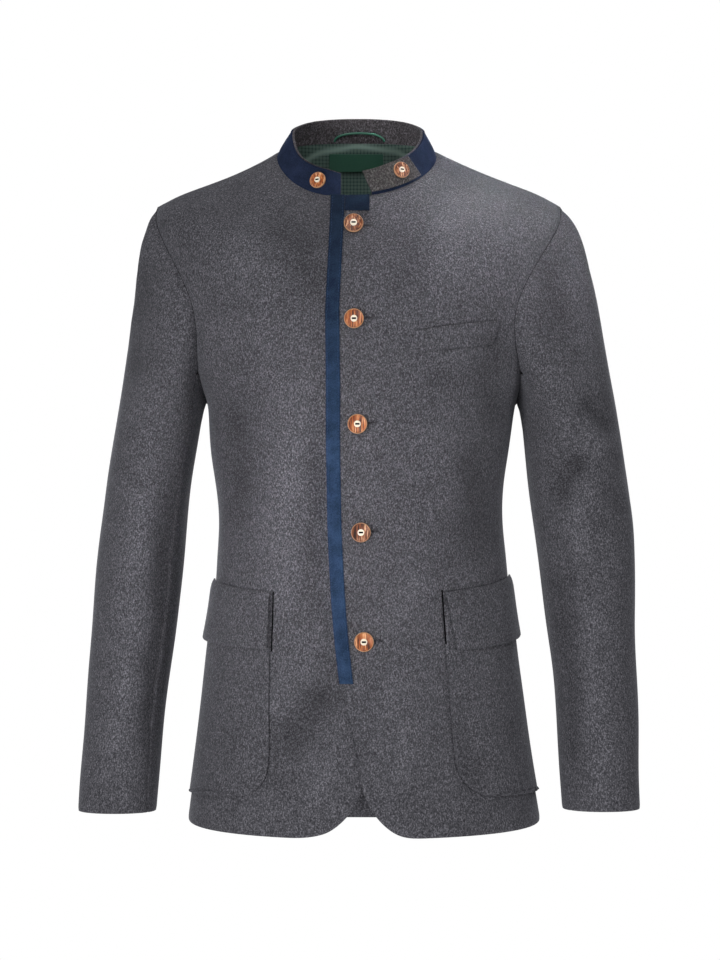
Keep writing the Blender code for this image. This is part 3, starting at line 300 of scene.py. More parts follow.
# soft folds of each part: width, depth (outward is plus) and the points (x, z), all in mm
foldTable = {
    "front": [
        (18.0, -5.0, [(-20, -556), (-47, -582), (-74, -618), (-96, -652)]),
        (15.0, 3.8, [(-44, -500), (-66, -556), (-100, -612)]),
        (15.0, 3.2, [(-14, -604), (-34, -648), (-52, -700)]),
        (10.0, -2.3, [(-104, -664), (-84, -668), (-58, -660)]),
        (24.0, 4.9, [(-70, -236), (-78, -350), (-78, -450), (-70, -530)]),
        (15.0, -3.4, [(-42, -280), (-48, -400), (-43, -520)]),
        (22.0, -4.3, [(-132, -236), (-134, -330), (-126, -430)]),
        (26.0, -4.3, [(-96, -60), (-62, -104), (-52, -176)]),
        (18.0, 2.6, [(-132, -66), (-122, -120), (-100, -190)]),
        (14.0, -2.6, [(-150, -156), (-112, -168), (-72, -160)]),
        (15.0, 4.0, [(74, -430), (56, -470), (34, -512)]),
        (17.0, 3.2, [(24, -548), (40, -600), (52, -680)]),
        (26.0, -3.6, [(136, -296), (126, -370), (134, -452)]),
        (16.0, -3.8, [(150, -182), (140, -240), (146, -300)]),
        (22.0, 2.9, [(96, -44), (92, -110), (100, -170)]),
        (18.0, -2.6, [(34, -70), (52, -110), (46, -170)]),
        (14.0, -2.3, [(60, -232), (98, -250), (140, -230)]),
        (18.0, 2.3, [(96, -270), (90, -340), (84, -400)]),
        (16.0, -2.6, [(92, -560), (110, -620), (128, -690)]),
    ],
    "sleeve_right": [
        (20.0, -4.6, [(-236, -100), (-250, -190), (-258, -280)]),
        (20.0, 4.3, [(-236, -290), (-240, -440), (-250, -590), (-254, -700)]),
        (14.0, -4.3, [(-200, -330), (-206, -450), (-218, -590), (-226, -700)]),
        (12.0, -3.2, [(-262, -318), (-238, -352), (-210, -362)]),
        (12.0, 2.3, [(-200, -250), (-222, -262), (-252, -240)]),
    ],
    "sleeve_left": [
        (18.0, -4.3, [(196, -96), (210, -150), (214, -214)]),
        (18.0, 2.9, [(234, -110), (246, -190), (250, -250)]),
        (11.0, -4.9, [(240, -256), (256, -278), (272, -300)]),
        (11.0, 3.8, [(232, -290), (252, -312), (268, -322)]),
        (12.0, -6.4, [(206, -378), (222, -340), (250, -326)]),
        (11.0, -2.9, [(254, -350), (270, -364), (284, -386)]),
        (14.0, 4.3, [(240, -350), (234, -390), (240, -450)]),
        (18.0, 3.4, [(246, -440), (250, -560), (256, -700)]),
        (13.0, -3.4, [(212, -420), (220, -540), (228, -690)]),
    ],
    "back": [
        (18.0, -3.2, [(0, -216), (3, -280), (-2, -344)]),
        (16.0, 3.2, [(-70, -90), (-84, -170), (-96, -260)]),
        (16.0, 2.9, [(76, -80), (86, -180), (98, -250)]),
        (15.0, -4.0, [(-60, -380), (-20, -404), (34, -396)]),
        (14.0, -3.2, [(80, -360), (44, -378), (4, -372)]),
        (20.0, 3.8, [(-90, -480), (-84, -580), (-92, -700)]),
        (22.0, 3.4, [(64, -470), (70, -590), (60, -720)]),
    ],
    "sleeve_back": [
        (12.0, -4.3, [(-262, -330), (-240, -346), (-212, -340)]),
        (12.0, -3.8, [(212, -350), (238, -338), (266, -350)]),
        (16.0, 3.2, [(-238, -390), (-246, -520), (-254, -690)]),
        (16.0, 3.2, [(240, -380), (246, -530), (254, -690)]),
    ],
}
# folds fade toward their ends and on cloth that faces sideways; they sway in two waves, each
# with a reach and a length in mm; and the last number is how many mm of fold span the painted fold
# shade
foldShape = {"taper": 3.2, "end": 0.12, "facing": 1.6, "sway": (3.0, 23.0),
             "waver": (2.0, 11.0), "foldShade": 11.0}


# how strongly the fold along a path acts on each point, from 0 to 1
def foldField(across, up, path, width):
    best = np.full(len(across), np.inf)
    place = np.zeros(len(across))
    lengths = [math.dist(start, end) for start, end in zip(path[:-1], path[1:])]
    done = 0.0
    for start, end, length in zip(path[:-1], path[1:], lengths):
        wayX = (end[0] - start[0]) / length
        wayZ = (end[1] - start[1]) / length
        relX = across - start[0]
        relZ = up - start[1]
        along = np.clip(relX * wayX + relZ * wayZ, 0.0, length)
        gap = np.hypot(relX - along * wayX, relZ - along * wayZ)
        nearer = gap < best
        best = np.where(nearer, gap, best)
        place = np.where(nearer, (done + along) / sum(lengths), place)
        done += length
    taper = np.minimum(place, 1.0 - place) * foldShape["taper"] + foldShape["end"]
    taper = np.clip(taper, 0.0, 1.0)
    taper = taper * taper * (3.0 - 2.0 * taper)
    return np.exp(-(best / width) ** 2) * taper


def foldHeight(points, normals, parts):
    across = points[:, 0] / mm
    up = points[:, 2] / mm
    sway, swayLong = foldShape["sway"]
    waver, waverLong = foldShape["waver"]
    height = np.zeros(len(points))
    for part, folds in foldTable.items():
        if part not in parts:
            continue
        facing = normals[:, 1] if "back" in part else -normals[:, 1]
        weight = np.clip(facing * foldShape["facing"], 0.0, 1.0)
        for width, depth, path in folds:
            wander = sway * np.sin(up / swayLong + path[0][0]) + waver * np.sin(up / waverLong)
            height += foldField(across + wander, up, path, width) * depth * weight
    return height * mm


# the slight unevenness of pressed cloth: length and height of its waves in mm
bodyRipple = {"long": 120, "high": 0.5, "seed": 3}
sleeveRipple = {"long": 90, "high": 0.5, "seed": 4}
# how many waves are summed, how upright they run and how their lengths and starts vary
rippleShape = {"waves": 7, "upright": 0.7, "shortest": 0.6, "longest": 1.7, "turn": 6.28}


def ripple(points, facts):
    draw = random.Random(facts["seed"])
    long = facts["long"] * mm
    total = np.zeros(len(points))
    for _ in range(rippleShape["waves"]):
        way = Vector((draw.gauss(0, 1), draw.gauss(0, 1), draw.gauss(0, rippleShape["upright"])))
        share = draw.uniform(rippleShape["shortest"], rippleShape["longest"])
        start = draw.uniform(0, rippleShape["turn"])
        across = points @ np.array(way.normalized())
        total += np.sin(across * (2.0 * math.pi / (long * share)) + start)
    return total * (facts["high"] * mm) / (rippleShape["waves"] / 2.0)


# corners nearer than this in mm are one, and triangles join where they turn less than these
# degrees; a skin ends, and a corner of its edge stays sharp, where it turns more than these
formShape = {"near": 0.002, "joinTurn": 40.0, "joinShape": 60.0, "skinTurn": 50.0,
             "cornerTurn": 34.0}


# a copy of a solid with its triangles joined
def mergedForm(node):
    source = bpy.data.objects[node]
    form = bmesh.new()
    form.from_mesh(source.data)
    form.transform(source.matrix_world)
    bmesh.ops.remove_doubles(form, verts=form.verts, dist=formShape["near"] * mm)
    bmesh.ops.join_triangles(form, faces=form.faces,
                             angle_face_threshold=math.radians(formShape["joinTurn"]),
                             angle_shape_threshold=math.radians(formShape["joinShape"]))
    return form


# the smooth skins of a solid, the largest first
def skins(form):
    limit = math.radians(formShape["skinTurn"])
    form.faces.ensure_lookup_table()
    done = set()
    groups = []
    for face in form.faces:
        if face.index in done:
            continue
        group = []
        todo = [face]
        done.add(face.index)
        while todo:
            one = todo.pop()
            group.append(one)
            for edge in one.edges:
                if len(edge.link_faces) != 2 or edge.calc_face_angle() > limit:
                    continue
                for other in edge.link_faces:
                    if other.index not in done:
                        done.add(other.index)
                        todo.append(other)
        groups.append(group)
    groups.sort(key=lambda some: -sum(one.calc_area() for one in some))
    return groups


# how much of a skin faces the front, or away from an upright axis at (x, y)
def outwardShare(group, axis):
    total = 0.0
    for face in group:
        centre = face.calc_center_median()
        if axis == "front":
            way = Vector((0.0, -1.0, 0.0))
        else:
            way = Vector((centre.x - axis[0], centre.y - axis[1], 0.0)).normalized()
        total += face.normal.dot(way) * face.calc_area()
    return total


def outerSkin(node, axis):
    form = mergedForm(node)
    keep = set(max(skins(form)[:2], key=lambda group: outwardShare(group, axis)))
    drop = [face for face in form.faces if face not in keep]
    bmesh.ops.delete(form, geom=drop, context="FACES")
    return form


# puts an object's modifiers into its mesh
def applied(obj):
    graph = bpy.context.evaluated_depsgraph_get()
    made = bpy.data.meshes.new_from_object(obj.evaluated_get(graph), depsgraph=graph)
    old = obj.data
    obj.modifiers.clear()
    obj.data = made
    bpy.data.meshes.remove(old)


def smoothShaded(mesh):
    mesh.polygons.foreach_set("use_smooth", [True] * len(mesh.polygons))


def arrays(mesh):
    points = np.empty(len(mesh.vertices) * 3)
    mesh.vertices.foreach_get("co", points)
    normals = np.empty(len(mesh.vertices) * 3)
    mesh.vertex_normals.foreach_get("vector", normals)
    return points.reshape(-1, 3), normals.reshape(-1, 3)


def newObject(name, form, materials):
    mesh = bpy.data.meshes.new(name)
    form.to_mesh(mesh)
    form.free()
    obj = bpy.data.objects.new(name, mesh)
    scene.collection.objects.link(obj)
    for material in materials:
        mesh.materials.append(material)
    smoothShaded(mesh)
    return obj


# the pairs of vertices along a sheet's open edge
def boundaryOf(mesh):
    edgeOf = np.empty(len(mesh.loops), dtype=np.int32)
    mesh.loops.foreach_get("edge_index", edgeOf)
    uses = np.bincount(edgeOf, minlength=len(mesh.edges))
    ends = np.empty(len(mesh.edges) * 2, dtype=np.int32)
    mesh.edges.foreach_get("vertices", ends)
    return ends.reshape(-1, 2)[uses == 1]


# corners of the cut stay sharp when the sheet is made dense
def keepCorners(form):
    layers = form.verts.layers.float
    layer = layers.get("crease_vert") or layers.new("crease_vert")
    for vert in form.verts:
        rims = [edge for edge in vert.link_edges if edge.is_boundary]
        if len(rims) != 2:
            continue
        ways = [(edge.other_vert(vert).co - vert.co).normalized() for edge in rims]
        if math.degrees((-ways[0]).angle(ways[1])) > formShape["cornerTurn"]:
            vert[layer] = 1.0


# the sleeve head stands up a little below its seam, most of all near the shoulder tips; in mm
headShape = {"rise": 8.0, "fade": 75.0, "tips": [(-218.9, 3.8, -55.0), (216.5, 3.8, -55.0)]}


def fromTips(points):
    tips = np.array(headShape["tips"]) * mm
    return np.linalg.norm(points[:, None, :] - tips[None], axis=2).min(axis=1)


def headSwell(points, rims, amount):
    edge = np.unique(rims)
    tree = KDTree(len(edge))
    for index in edge:
        tree.insert(points[index], int(index))
    tree.balance()
    apart = np.array([tree.find(point)[2] for point in points])
    near = np.clip(1.0 - fromTips(points) / (headShape["fade"] * mm), 0.0, 1.0)
    return amount * mm * (1.0 - np.exp(-apart / (headShape["rise"] * mm))) * near


# the open outer skin of a solid, with a narrow rim of its own, made dense and given its folds
def openSheet(facts):
    form = outerSkin(facts["node"], facts["axis"])
    form.normal_update()
    bmesh.ops.inset_region(form, faces=form.faces, thickness=facts["rim"] * mm, depth=0.0,
                           use_boundary=True, use_even_offset=True)
    keepCorners(form)
    obj = newObject(facts["name"], form, [facts["material"]])
    sub = obj.modifiers.new("smooth", "SUBSURF")
    sub.levels = sub.render_levels = facts["level"]
    sub.boundary_smooth = "PRESERVE_CORNERS"
    applied(obj)
    points, normals = arrays(obj.data)
    height = foldHeight(points, normals, facts["folds"])
    if facts["ripple"]:
        height += ripple(points, facts["ripple"])
    # painted shade: each point of the loden keeps how far its folds lift it, so troughs are
    # painted darker and ridges paler, and a piece's own offset in mm paints it darker all over
    if facts["material"] in (loden, reverse, tabShadedLoden):
        foldShade = 0.5 + (height / mm + facts["foldShade"]) / foldShape["foldShade"]
        paintedFoldShade = obj.data.attributes.new("paintedFoldShade", "FLOAT", "POINT")
        paintedFoldShade.data.foreach_set("value", np.clip(foldShade, 0.0, 1.0))
    if facts["head"]:
        height += headSwell(points, boundaryOf(obj.data), facts["head"])
    points = points + normals * height[:, None]
    obj.data.vertices.foreach_set("co", points.ravel())
    obj.data.update()
    points, normals = arrays(obj.data)
    rims = boundaryOf(obj.data)
    return {"obj": obj, "points": points, "normals": normals, "rims": rims,
            "edge": np.unique(rims)}


# the nearest spots on the edges of other sheets, how far off they are and how they face
def nearestOnRims(points, others, batch=200):
    starts = np.concatenate([sheet["points"][sheet["rims"][:, 0]] for sheet in others])
    ends = np.concatenate([sheet["points"][sheet["rims"][:, 1]] for sheet in others])
    facing = np.concatenate([sheet["normals"][sheet["rims"][:, 0]] for sheet in others])
    way = ends - starts
    long = np.maximum((way * way).sum(axis=1), 1e-12)
    spots = np.empty_like(points)
    gaps = np.empty(len(points))
    turned = np.empty_like(points)
    for first in range(0, len(points), batch):
        part = points[first:first + batch]
        rel = part[:, None, :] - starts[None]
        along = np.clip((rel * way[None]).sum(axis=2) / long[None], 0.0, 1.0)
        near = starts[None] + way[None] * along[:, :, None]
        apart = np.linalg.norm(part[:, None, :] - near, axis=2)
        best = apart.argmin(axis=1)
        rows = np.arange(len(part))
        spots[first:first + batch] = near[rows, best]
        gaps[first:first + batch] = apart[rows, best]
        turned[first:first + batch] = facing[best]
    return spots, gaps, turned


# seams, in mm: an edge within reach of the one it is sewn to meets it halfway and sinks, by
# less within tipReach of a shoulder tip, where three pieces meet and the seam lies almost level
sewFacts = {"reach": 5.0, "tipReach": 30.0, "tipSink": 0.25}


# how each point of a sheet moves when its edges are sewn, and its free edges turned in
def sewnMoves(sheet, others, facts):
    edge = sheet["edge"]
    points = sheet["points"][edge]
    normals = sheet["normals"][edge]
    moves = -normals * facts["freeSink"] * mm
    if others:
        spots, gaps, facing = nearestOnRims(points, others)
        joined = gaps < sewFacts["reach"] * mm
        mean = normals + facing
        mean /= np.maximum(np.linalg.norm(mean, axis=1), 1e-6)[:, None]
        share = fromTips(points) / (sewFacts["tipReach"] * mm)
        share = np.clip(share, sewFacts["tipSink"], 1.0)[:, None]
        target = (spots - points) / 2.0 - mean * share * facts["sink"] * mm
        moves = np.where(joined[:, None], target, moves)
    tree = KDTree(len(edge))
    for count, point in enumerate(points):
        tree.insert(point, count)
    tree.balance()
    spread = facts["spread"] * mm
    total = np.zeros_like(sheet["points"])
    for index, point in enumerate(sheet["points"]):
        _, found, apart = tree.find(point)
        if apart < spread:
            total[index] = moves[found] * (1.0 - apart / spread) ** 2
    return total


# edges past a turn in degrees are rounded by a share of the cloth's thickness
edgeShape = {"turn": 55.0, "share": 0.35, "segments": 2}


def closeSheet(facts, sheet):
    obj = sheet["obj"]
    thick = obj.modifiers.new("thick", "SOLIDIFY")
    thick.thickness = facts["thick"] * mm
    thick.offset = -1.0
    soft = obj.modifiers.new("soft", "BEVEL")
    soft.limit_method = "ANGLE"
    soft.angle_limit = math.radians(edgeShape["turn"])
    soft.width = facts["thick"] * edgeShape["share"] * mm
    soft.segments = edgeShape["segments"]
    applied(obj)
    smoothShaded(obj.data)
    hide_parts(facts["node"])
    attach(obj, "root")
    return obj


# each cloth piece: "axis" is what it faces away from, "flat" the width, length and area of its
# cut in metres and "level" how dense it is made; its other sizes are in mm
clothDefaults = {
    "material": loden, "slot": "loden", "folds": (), "ripple": None, "foldShade": 0.0, "head": 0.0,
    "level": 3, "rim": 3.0, "sink": 1.2, "freeSink": 0.5, "spread": 6.0, "thick": 1.8,
    "held": "hung", "rests": [],
}
torso = (0.0, 0.0)
body = {"axis": torso, "folds": ("front",), "ripple": bodyRipple, "thick": 1.9}
rightSleeve = {"axis": (-0.235, 0.0), "folds": ("sleeve_right", "sleeve_back"),
               "ripple": sleeveRipple}
leftSleeve = {"axis": (0.235, 0.0), "folds": ("sleeve_left", "sleeve_back"),
              "ripple": sleeveRipple}
patch = {"axis": "front", "folds": ("front",), "ripple": bodyRipple, "level": 2}
collar = {"axis": (-0.003, 0.0), "flat": (0.44, 0.047, 0.0135), "level": 2, "thick": 1.3,
          "held": "stretched"}
band = {**patch, "material": suede, "slot": "suede", "freeSink": 0.35, "thick": 1.0,
        "rim": 1.8, "spread": 3.0, "rests": ["left_front_cloth"]}
clothTable = [
    {**body, "name": "back_cloth", "node": "back", "flat": (0.50, 0.76, 0.33),
     "folds": ("back",), "level": 2},
    {**body, "name": "right_front_cloth", "node": "front_right", "flat": (0.29, 0.78, 0.178),
     "rests": ["back_cloth"]},
    {**body, "name": "left_front_cloth", "node": "front_left", "flat": (0.30, 0.78, 0.184),
     "rests": ["back_cloth"]},
    {**rightSleeve, "name": "right_top_sleeve_cloth", "node": "sleeve_top_right",
     "flat": (0.23, 0.66, 0.123), "head": 3.5, "rests": ["right_front_cloth", "back_cloth"]},
    {**leftSleeve, "name": "left_top_sleeve_cloth", "node": "sleeve_top_left",
     "flat": (0.24, 0.66, 0.128), "head": 6.5, "rests": ["left_front_cloth", "back_cloth"]},
    {**rightSleeve, "name": "right_under_sleeve_cloth", "node": "sleeve_under_right",
     "flat": (0.17, 0.60, 0.079), "rests": ["right_top_sleeve_cloth"]},
    {**leftSleeve, "name": "left_under_sleeve_cloth", "node": "sleeve_under_left",
     "flat": (0.17, 0.60, 0.081), "rests": ["left_top_sleeve_cloth"]},
    {**patch, "name": "right_pocket_cloth", "node": "pocket_right", "flat": (0.15, 0.24, 0.030),
     "freeSink": 1.2, "rests": ["right_front_cloth"]},
    {**patch, "name": "left_pocket_cloth", "node": "pocket_left", "flat": (0.15, 0.25, 0.031),
     "freeSink": 1.2, "rests": ["left_front_cloth"]},
    {**patch, "name": "right_flap_cloth", "node": "flap_right", "flat": (0.15, 0.075, 0.0095),
     "rests": ["right_pocket_cloth"]},
    {**patch, "name": "left_flap_cloth", "node": "flap_left", "flat": (0.15, 0.075, 0.0095),
     "rests": ["left_pocket_cloth"]},
    {**patch, "name": "breast_welt_cloth", "node": "breast_welt", "flat": (0.10, 0.028, 0.0026),
     "freeSink": 0.6, "thick": 1.1, "rests": ["left_front_cloth"]},
    {**collar, "name": "outer_collar_cloth", "node": "collar_outer", "material": collarShadedSuede,
     "slot": "suede", "sink": 1.1, "freeSink": 0.3, "rests": ["back_cloth"]},
    # painted shade: the inner collar has its fold shade set 0.5 mm darker, for the shadow inside
    # the collar
    {**collar, "name": "inner_collar_cloth", "node": "collar_inner", "material": reverse,
     "foldShade": -0.5, "sink": 0.1, "freeSink": 0.2, "rests": ["outer_collar_cloth"]},
    # painted shade: the chin tab also has its fold shade set 1 mm darker
    {"name": "chin_tab_cloth", "node": "collar_tab", "axis": "front", "material": tabShadedLoden,
     "foldShade": -1.0, "flat": (0.062, 0.032, 0.0015), "freeSink": 0.4, "thick": 1.5,
     "held": "stretched", "rests": ["outer_collar_cloth"]},
    {**band, "name": "front_band_cloth", "node": "front_trim", "flat": (0.0158, 0.50, 0.0078)},
    {**band, "name": "neck_band_cloth", "node": "neck_trim", "flat": (0.034, 0.020, 0.00064),
     "level": 3},
    {"name": "back_lining_cloth", "node": "back_lining", "axis": torso, "material": lining,
     "slot": "lining", "flat": (0.36, 0.16, 0.05), "level": 2, "sink": 0.1, "freeSink": 0.0,
     "thick": 0.9, "rests": ["back_cloth"]},
    {"name": "neck_label_cloth", "node": "neck_label", "axis": "front", "material": labelCloth,
     "slot": "label", "flat": (0.062, 0.0195, 0.0012), "level": 2, "freeSink": 0.1,
     "thick": 0.6, "spread": 2.0, "rim": 1.0, "rests": ["back_lining_cloth"]},
]
# which pieces each one is sewn to
sewTable = {
    "back": ("front_right", "front_left", "sleeve_top_right", "sleeve_top_left",
             "sleeve_under_right", "sleeve_under_left", "collar_outer"),
    "front_right": ("back", "sleeve_top_right", "sleeve_under_right", "collar_outer"),
    "front_left": ("back", "sleeve_top_left", "sleeve_under_left", "collar_outer"),
    "sleeve_top_right": ("front_right", "back", "sleeve_under_right"),
    "sleeve_top_left": ("front_left", "back", "sleeve_under_left"),
    "sleeve_under_right": ("front_right", "back", "sleeve_top_right"),
    "sleeve_under_left": ("front_left", "back", "sleeve_top_left"),
    "collar_outer": ("front_right", "front_left", "back"),
    "neck_trim": ("front_trim",),
    "collar_inner": ("back_lining",),
    "back_lining": ("collar_inner",),
}
clothTable = [{**clothDefaults, **facts} for facts in clothTable]
sheets = {facts["node"]: openSheet(facts) for facts in clothTable}
moves = {}
for facts in clothTable:
    node = facts["node"]
    others = [sheets[other] for other in sewTable.get(node, ())]
    moves[node] = sewnMoves(sheets[node], others, facts)
for node, sheet in sheets.items():
    sheet["obj"].data.vertices.foreach_set("co", (sheet["points"] + moves[node]).ravel())
    sheet["obj"].data.update()
cloths = {facts["node"]: closeSheet(facts, sheets[facts["node"]]) for facts in clothTable}
print("cloth pieces made")


# the finished cloths as one surface to lay small things on
def surfaceOf(*nodes):
    points = []
    faces = []
    for node in nodes:
        mesh = cloths[node].data
        start = len(points)
        points.extend(vert.co.copy() for vert in mesh.vertices)
        faces.extend([start + at for at in face.vertices] for face in mesh.polygons)
    return BVHTree.FromPolygons(points, faces)


frontSurface = surfaceOf("front_left", "front_right", "front_trim", "neck_trim")
bandSurface = surfaceOf("front_trim")
pocketSurface = surfaceOf("front_left", "front_right", "pocket_right", "pocket_left",
                          "flap_right", "flap_left", "breast_welt")


# where a line from in front meets a surface at (x, z) in mm, and how it faces there
def onFront(x, z, surface):
    hit, normal, _, _ = surface.ray_cast(Vector((x * mm, -0.6, z * mm)), Vector((0, 1, 0)))
    return hit, normal


def frameFrom(point, outward, along):
    out = outward.normalized()
    side = (along - out * along.dot(out)).normalized()
    turn = Matrix((side, out.cross(side), out)).transposed()
    return Matrix.Translation(point) @ turn.to_4x4()


# a stitch, or a strip of painted shade, is a small block, in mm, sunk into the cloth by this share
# of its height
blockSink = 0.6


def addBlock(form, place, length, width, height):
    made = bmesh.ops.create_cube(form, size=1.0)["verts"]
    bmesh.ops.scale(form, vec=(length * mm, width * mm, height * mm), verts=made)
    bmesh.ops.translate(form, vec=(0, 0, -height * blockSink * mm), verts=made)
    bmesh.ops.transform(form, matrix=place, verts=made)


def keepBlocks(name, form, thread):
    obj = newObject(name, form, [thread])
    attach(obj, "root")


# lines as points (x, z), in mm: along the welt's top, thread and painted shade of its opening,
# thread at its end, and painted shadow beside each flap; each stitch overlaps the next, and "lift"
# is how far the line lies off the cloth
stripShape = {"pitch": 1.6, "overlap": 1.5}
weltLines = [
    {"width": 0.45, "height": 0.5, "lift": 0.1,
     "path": [(57.5, -193.6), (93.0, -187.5), (144.2, -181.8)]},
    {"width": 0.25, "height": 0.3, "lift": 0.06, "path": [(46.5, -197.0), (49.0, -219.0)]},
]
flapShadowLines = [
    {"width": 1.5, "height": 0.5, "lift": 0.4,
     "path": [(-91.2, -468.0), (-92.0, -500.0), (-93.2, -530.0)]},
    {"width": 1.7, "height": 0.5, "lift": 0.4,
     "path": [(86.2, -466.0), (88.0, -492.0), (90.4, -522.0)]},
]
# the thread in the groove of each armhole seam, black so that it also paints the seam's shade, and
# the pieces that meet there
armholeThreadShade = {"width": 0.75, "height": 0.8, "lift": 0.2, "shortest": 0.01}
armholes = {
    "sleeve_top_right": ("front_right", "back"), "sleeve_top_left": ("front_left", "back"),
    "sleeve_under_right": ("front_right", "back"), "sleeve_under_left": ("front_left", "back"),
}


def layStrips(form, lines):
    for line in lines:
        for start, end in zip(line["path"][:-1], line["path"][1:]):
            long = math.dist(start, end)
            count = max(int(long / stripShape["pitch"]), 1)
            way = Vector((end[0] - start[0], 0.0, end[1] - start[1]))
            for at in range(count):
                share = (at + 0.5) / count
                hit, normal = onFront(start[0] + way.x * share, start[1] + way.z * share,
                                      pocketSurface)
                if hit is None:
                    continue
                place = frameFrom(hit + normal * line["lift"] * mm, normal, way)
                addBlock(form, place, long / count * stripShape["overlap"], line["width"],
                          line["height"])


def layArmholes(form):
    for node, others in armholes.items():
        sheet = sheets[node]
        rims = sheet["rims"]
        points = sheet["points"] + moves[node]
        middle = (sheet["points"][rims[:, 0]] + sheet["points"][rims[:, 1]]) / 2.0
        _, gaps, _ = nearestOnRims(middle, [sheets[other] for other in others])
        for (first, second), gap in zip(rims, gaps):
            way = Vector(points[second] - points[first])
            if gap > sewFacts["reach"] * mm or way.length < armholeThreadShade["shortest"] * mm:
                continue
            normal = Vector(sheet["normals"][first] + sheet["normals"][second]).normalized()
            spot = Vector(points[first] + points[second]) / 2.0
            place = frameFrom(spot + normal * armholeThreadShade["lift"] * mm, normal, way)
            addBlock(form, place, way.length / mm * stripShape["overlap"],
                      armholeThreadShade["width"], armholeThreadShade["height"])


form = bmesh.new()
layStrips(form, weltLines)
keepBlocks("welt_threads_and_shade", form, greyThread)
form = bmesh.new()
layArmholes(form)
keepBlocks("armhole_thread_shade", form, darkThreadAndShade)
form = bmesh.new()
layStrips(form, flapShadowLines)
keepBlocks("flap_shadow_strips", form, darkThreadAndShade)


# a turned wooden disc with a sunk face, a bone plate in it and on the plate a black block that
# paints the shade of its holes; in mm
buttonShape = {
    "radius": 10.3, "thick": 4.0, "rimWidth": 0.7, "dish": 0.8, "steps": 56,
    "plate": 7.0, "plateHigh": 0.9, "plateDeep": 0.6, "plateCorner": 3.29,
    "slotLong": 5.0, "slotWide": 2.3, "slotHigh": 0.12, "slotDeep": 0.8, "slotCorner": 0.8,
    "topEdge": 0.45,
}


def turnedDisc(form, scale):
    radius = buttonShape["radius"]
    thick = buttonShape["thick"]
    inner = radius - buttonShape["rimWidth"]
    face = thick - buttonShape["dish"]
    # across and up, from the middle of the back round the edge to the middle of the face
    profile = [
        (0.0, 0.0), (radius * 0.80, 0.0), (radius * 0.95, 0.5), (radius, 1.5),
        (radius, thick - 0.9), (radius - 0.35, thick - 0.2), (radius - 0.8, thick),
        (inner, thick - 0.05), (inner - 0.5, face), (radius * 0.55, face - 0.1),
        (0.0, face - 0.1),
    ]
    verts = [form.verts.new((across * scale, 0.0, up * scale)) for across, up in profile]
    edges = [form.edges.new(pair) for pair in zip(verts[:-1], verts[1:])]
    bmesh.ops.spin(form, geom=verts + edges, axis=(0, 0, 1), cent=(0, 0, 0), dvec=(0, 0, 0),
                   angle=2 * math.pi, steps=buttonShape["steps"], use_merge=True)
    bmesh.ops.remove_doubles(form, verts=form.verts, dist=1e-4)
    for one in form.faces:
        centre = one.calc_center_median()
        if math.hypot(centre.x, centre.y) > (inner - 0.15) * scale:
            one.material_index = 1


def roundedPlate(form, wide, high, low, scale, index, corner):
    before = set(form.faces)
    made = bmesh.ops.create_cube(form, size=1.0)["verts"]
    bmesh.ops.scale(form, vec=(wide[0] * scale, wide[1] * scale, (high - low) * scale),
                    verts=made)
    bmesh.ops.translate(form, vec=(0, 0, (high + low) / 2 * scale), verts=made)
    upright = [edge for edge in form.edges if edge.verts[0] in made and edge.verts[1] in made
               and abs(edge.verts[0].co.z - edge.verts[1].co.z) > 1e-6]
    bmesh.ops.bevel(form, geom=upright, offset=corner * scale, segments=5, profile=0.5,
                    affect="EDGES", material=-1)
    new = [face for face in form.faces if face not in before]
    top = max(new, key=lambda face: face.calc_center_median().z)
    bmesh.ops.bevel(form, geom=list(top.edges), offset=buttonShape["topEdge"] * scale,
                    segments=3, profile=0.5, affect="EDGES", material=-1)
    for face in form.faces:
        if face not in before:
            face.material_index = index


def makeButton(node, scale, woods):
    source = bpy.data.objects[node]
    points = np.array([source.matrix_world @ vert.co for vert in source.data.vertices])
    centre = points.mean(axis=0)
    _, _, axes = np.linalg.svd(points - centre, full_matrices=False)
    out = Vector(axes[2])  # a disc is thinnest along the way it faces
    if out.y > 0:
        out = -out
    back = min(float((point - centre) @ np.array(out)) for point in points)
    form = bmesh.new()
    turnedDisc(form, scale)
    plate = buttonShape["plate"]
    low = buttonShape["thick"] - buttonShape["dish"] - buttonShape["plateDeep"]
    top = buttonShape["thick"] + buttonShape["plateHigh"]
    roundedPlate(form, (plate, plate), top, low, scale, 2, buttonShape["plateCorner"])
    roundedPlate(form, (buttonShape["slotLong"], buttonShape["slotWide"]),
                 top + buttonShape["slotHigh"], top - buttonShape["slotDeep"], scale, 3,
                 buttonShape["slotCorner"])
    place = frameFrom(Vector(centre) + out * back, out, Vector((1, 0, 0)))
    form.transform(place @ Matrix.Scale(mm, 4))
    bmesh.ops.recalc_face_normals(form, faces=form.faces)
    obj = newObject(node + "_turned", form, [*woods, bone, darkThreadAndShade])
    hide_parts(node)
    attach(obj, "root")


orange = (orangeWood, woodRimHighlight)
brown = (brownWood, brownRimHighlight)
makeButton("button_1", 1.0, brown)
makeButton("button_2", 1.0, orange)
makeButton("button_3", 1.0, orange)
makeButton("button_4", 1.0, brown)
makeButton("button_5", 1.0, orange)
makeButton("collar_button", 0.86, orange)
makeButton("tab_button", 0.86, brown)
print("buttons made")


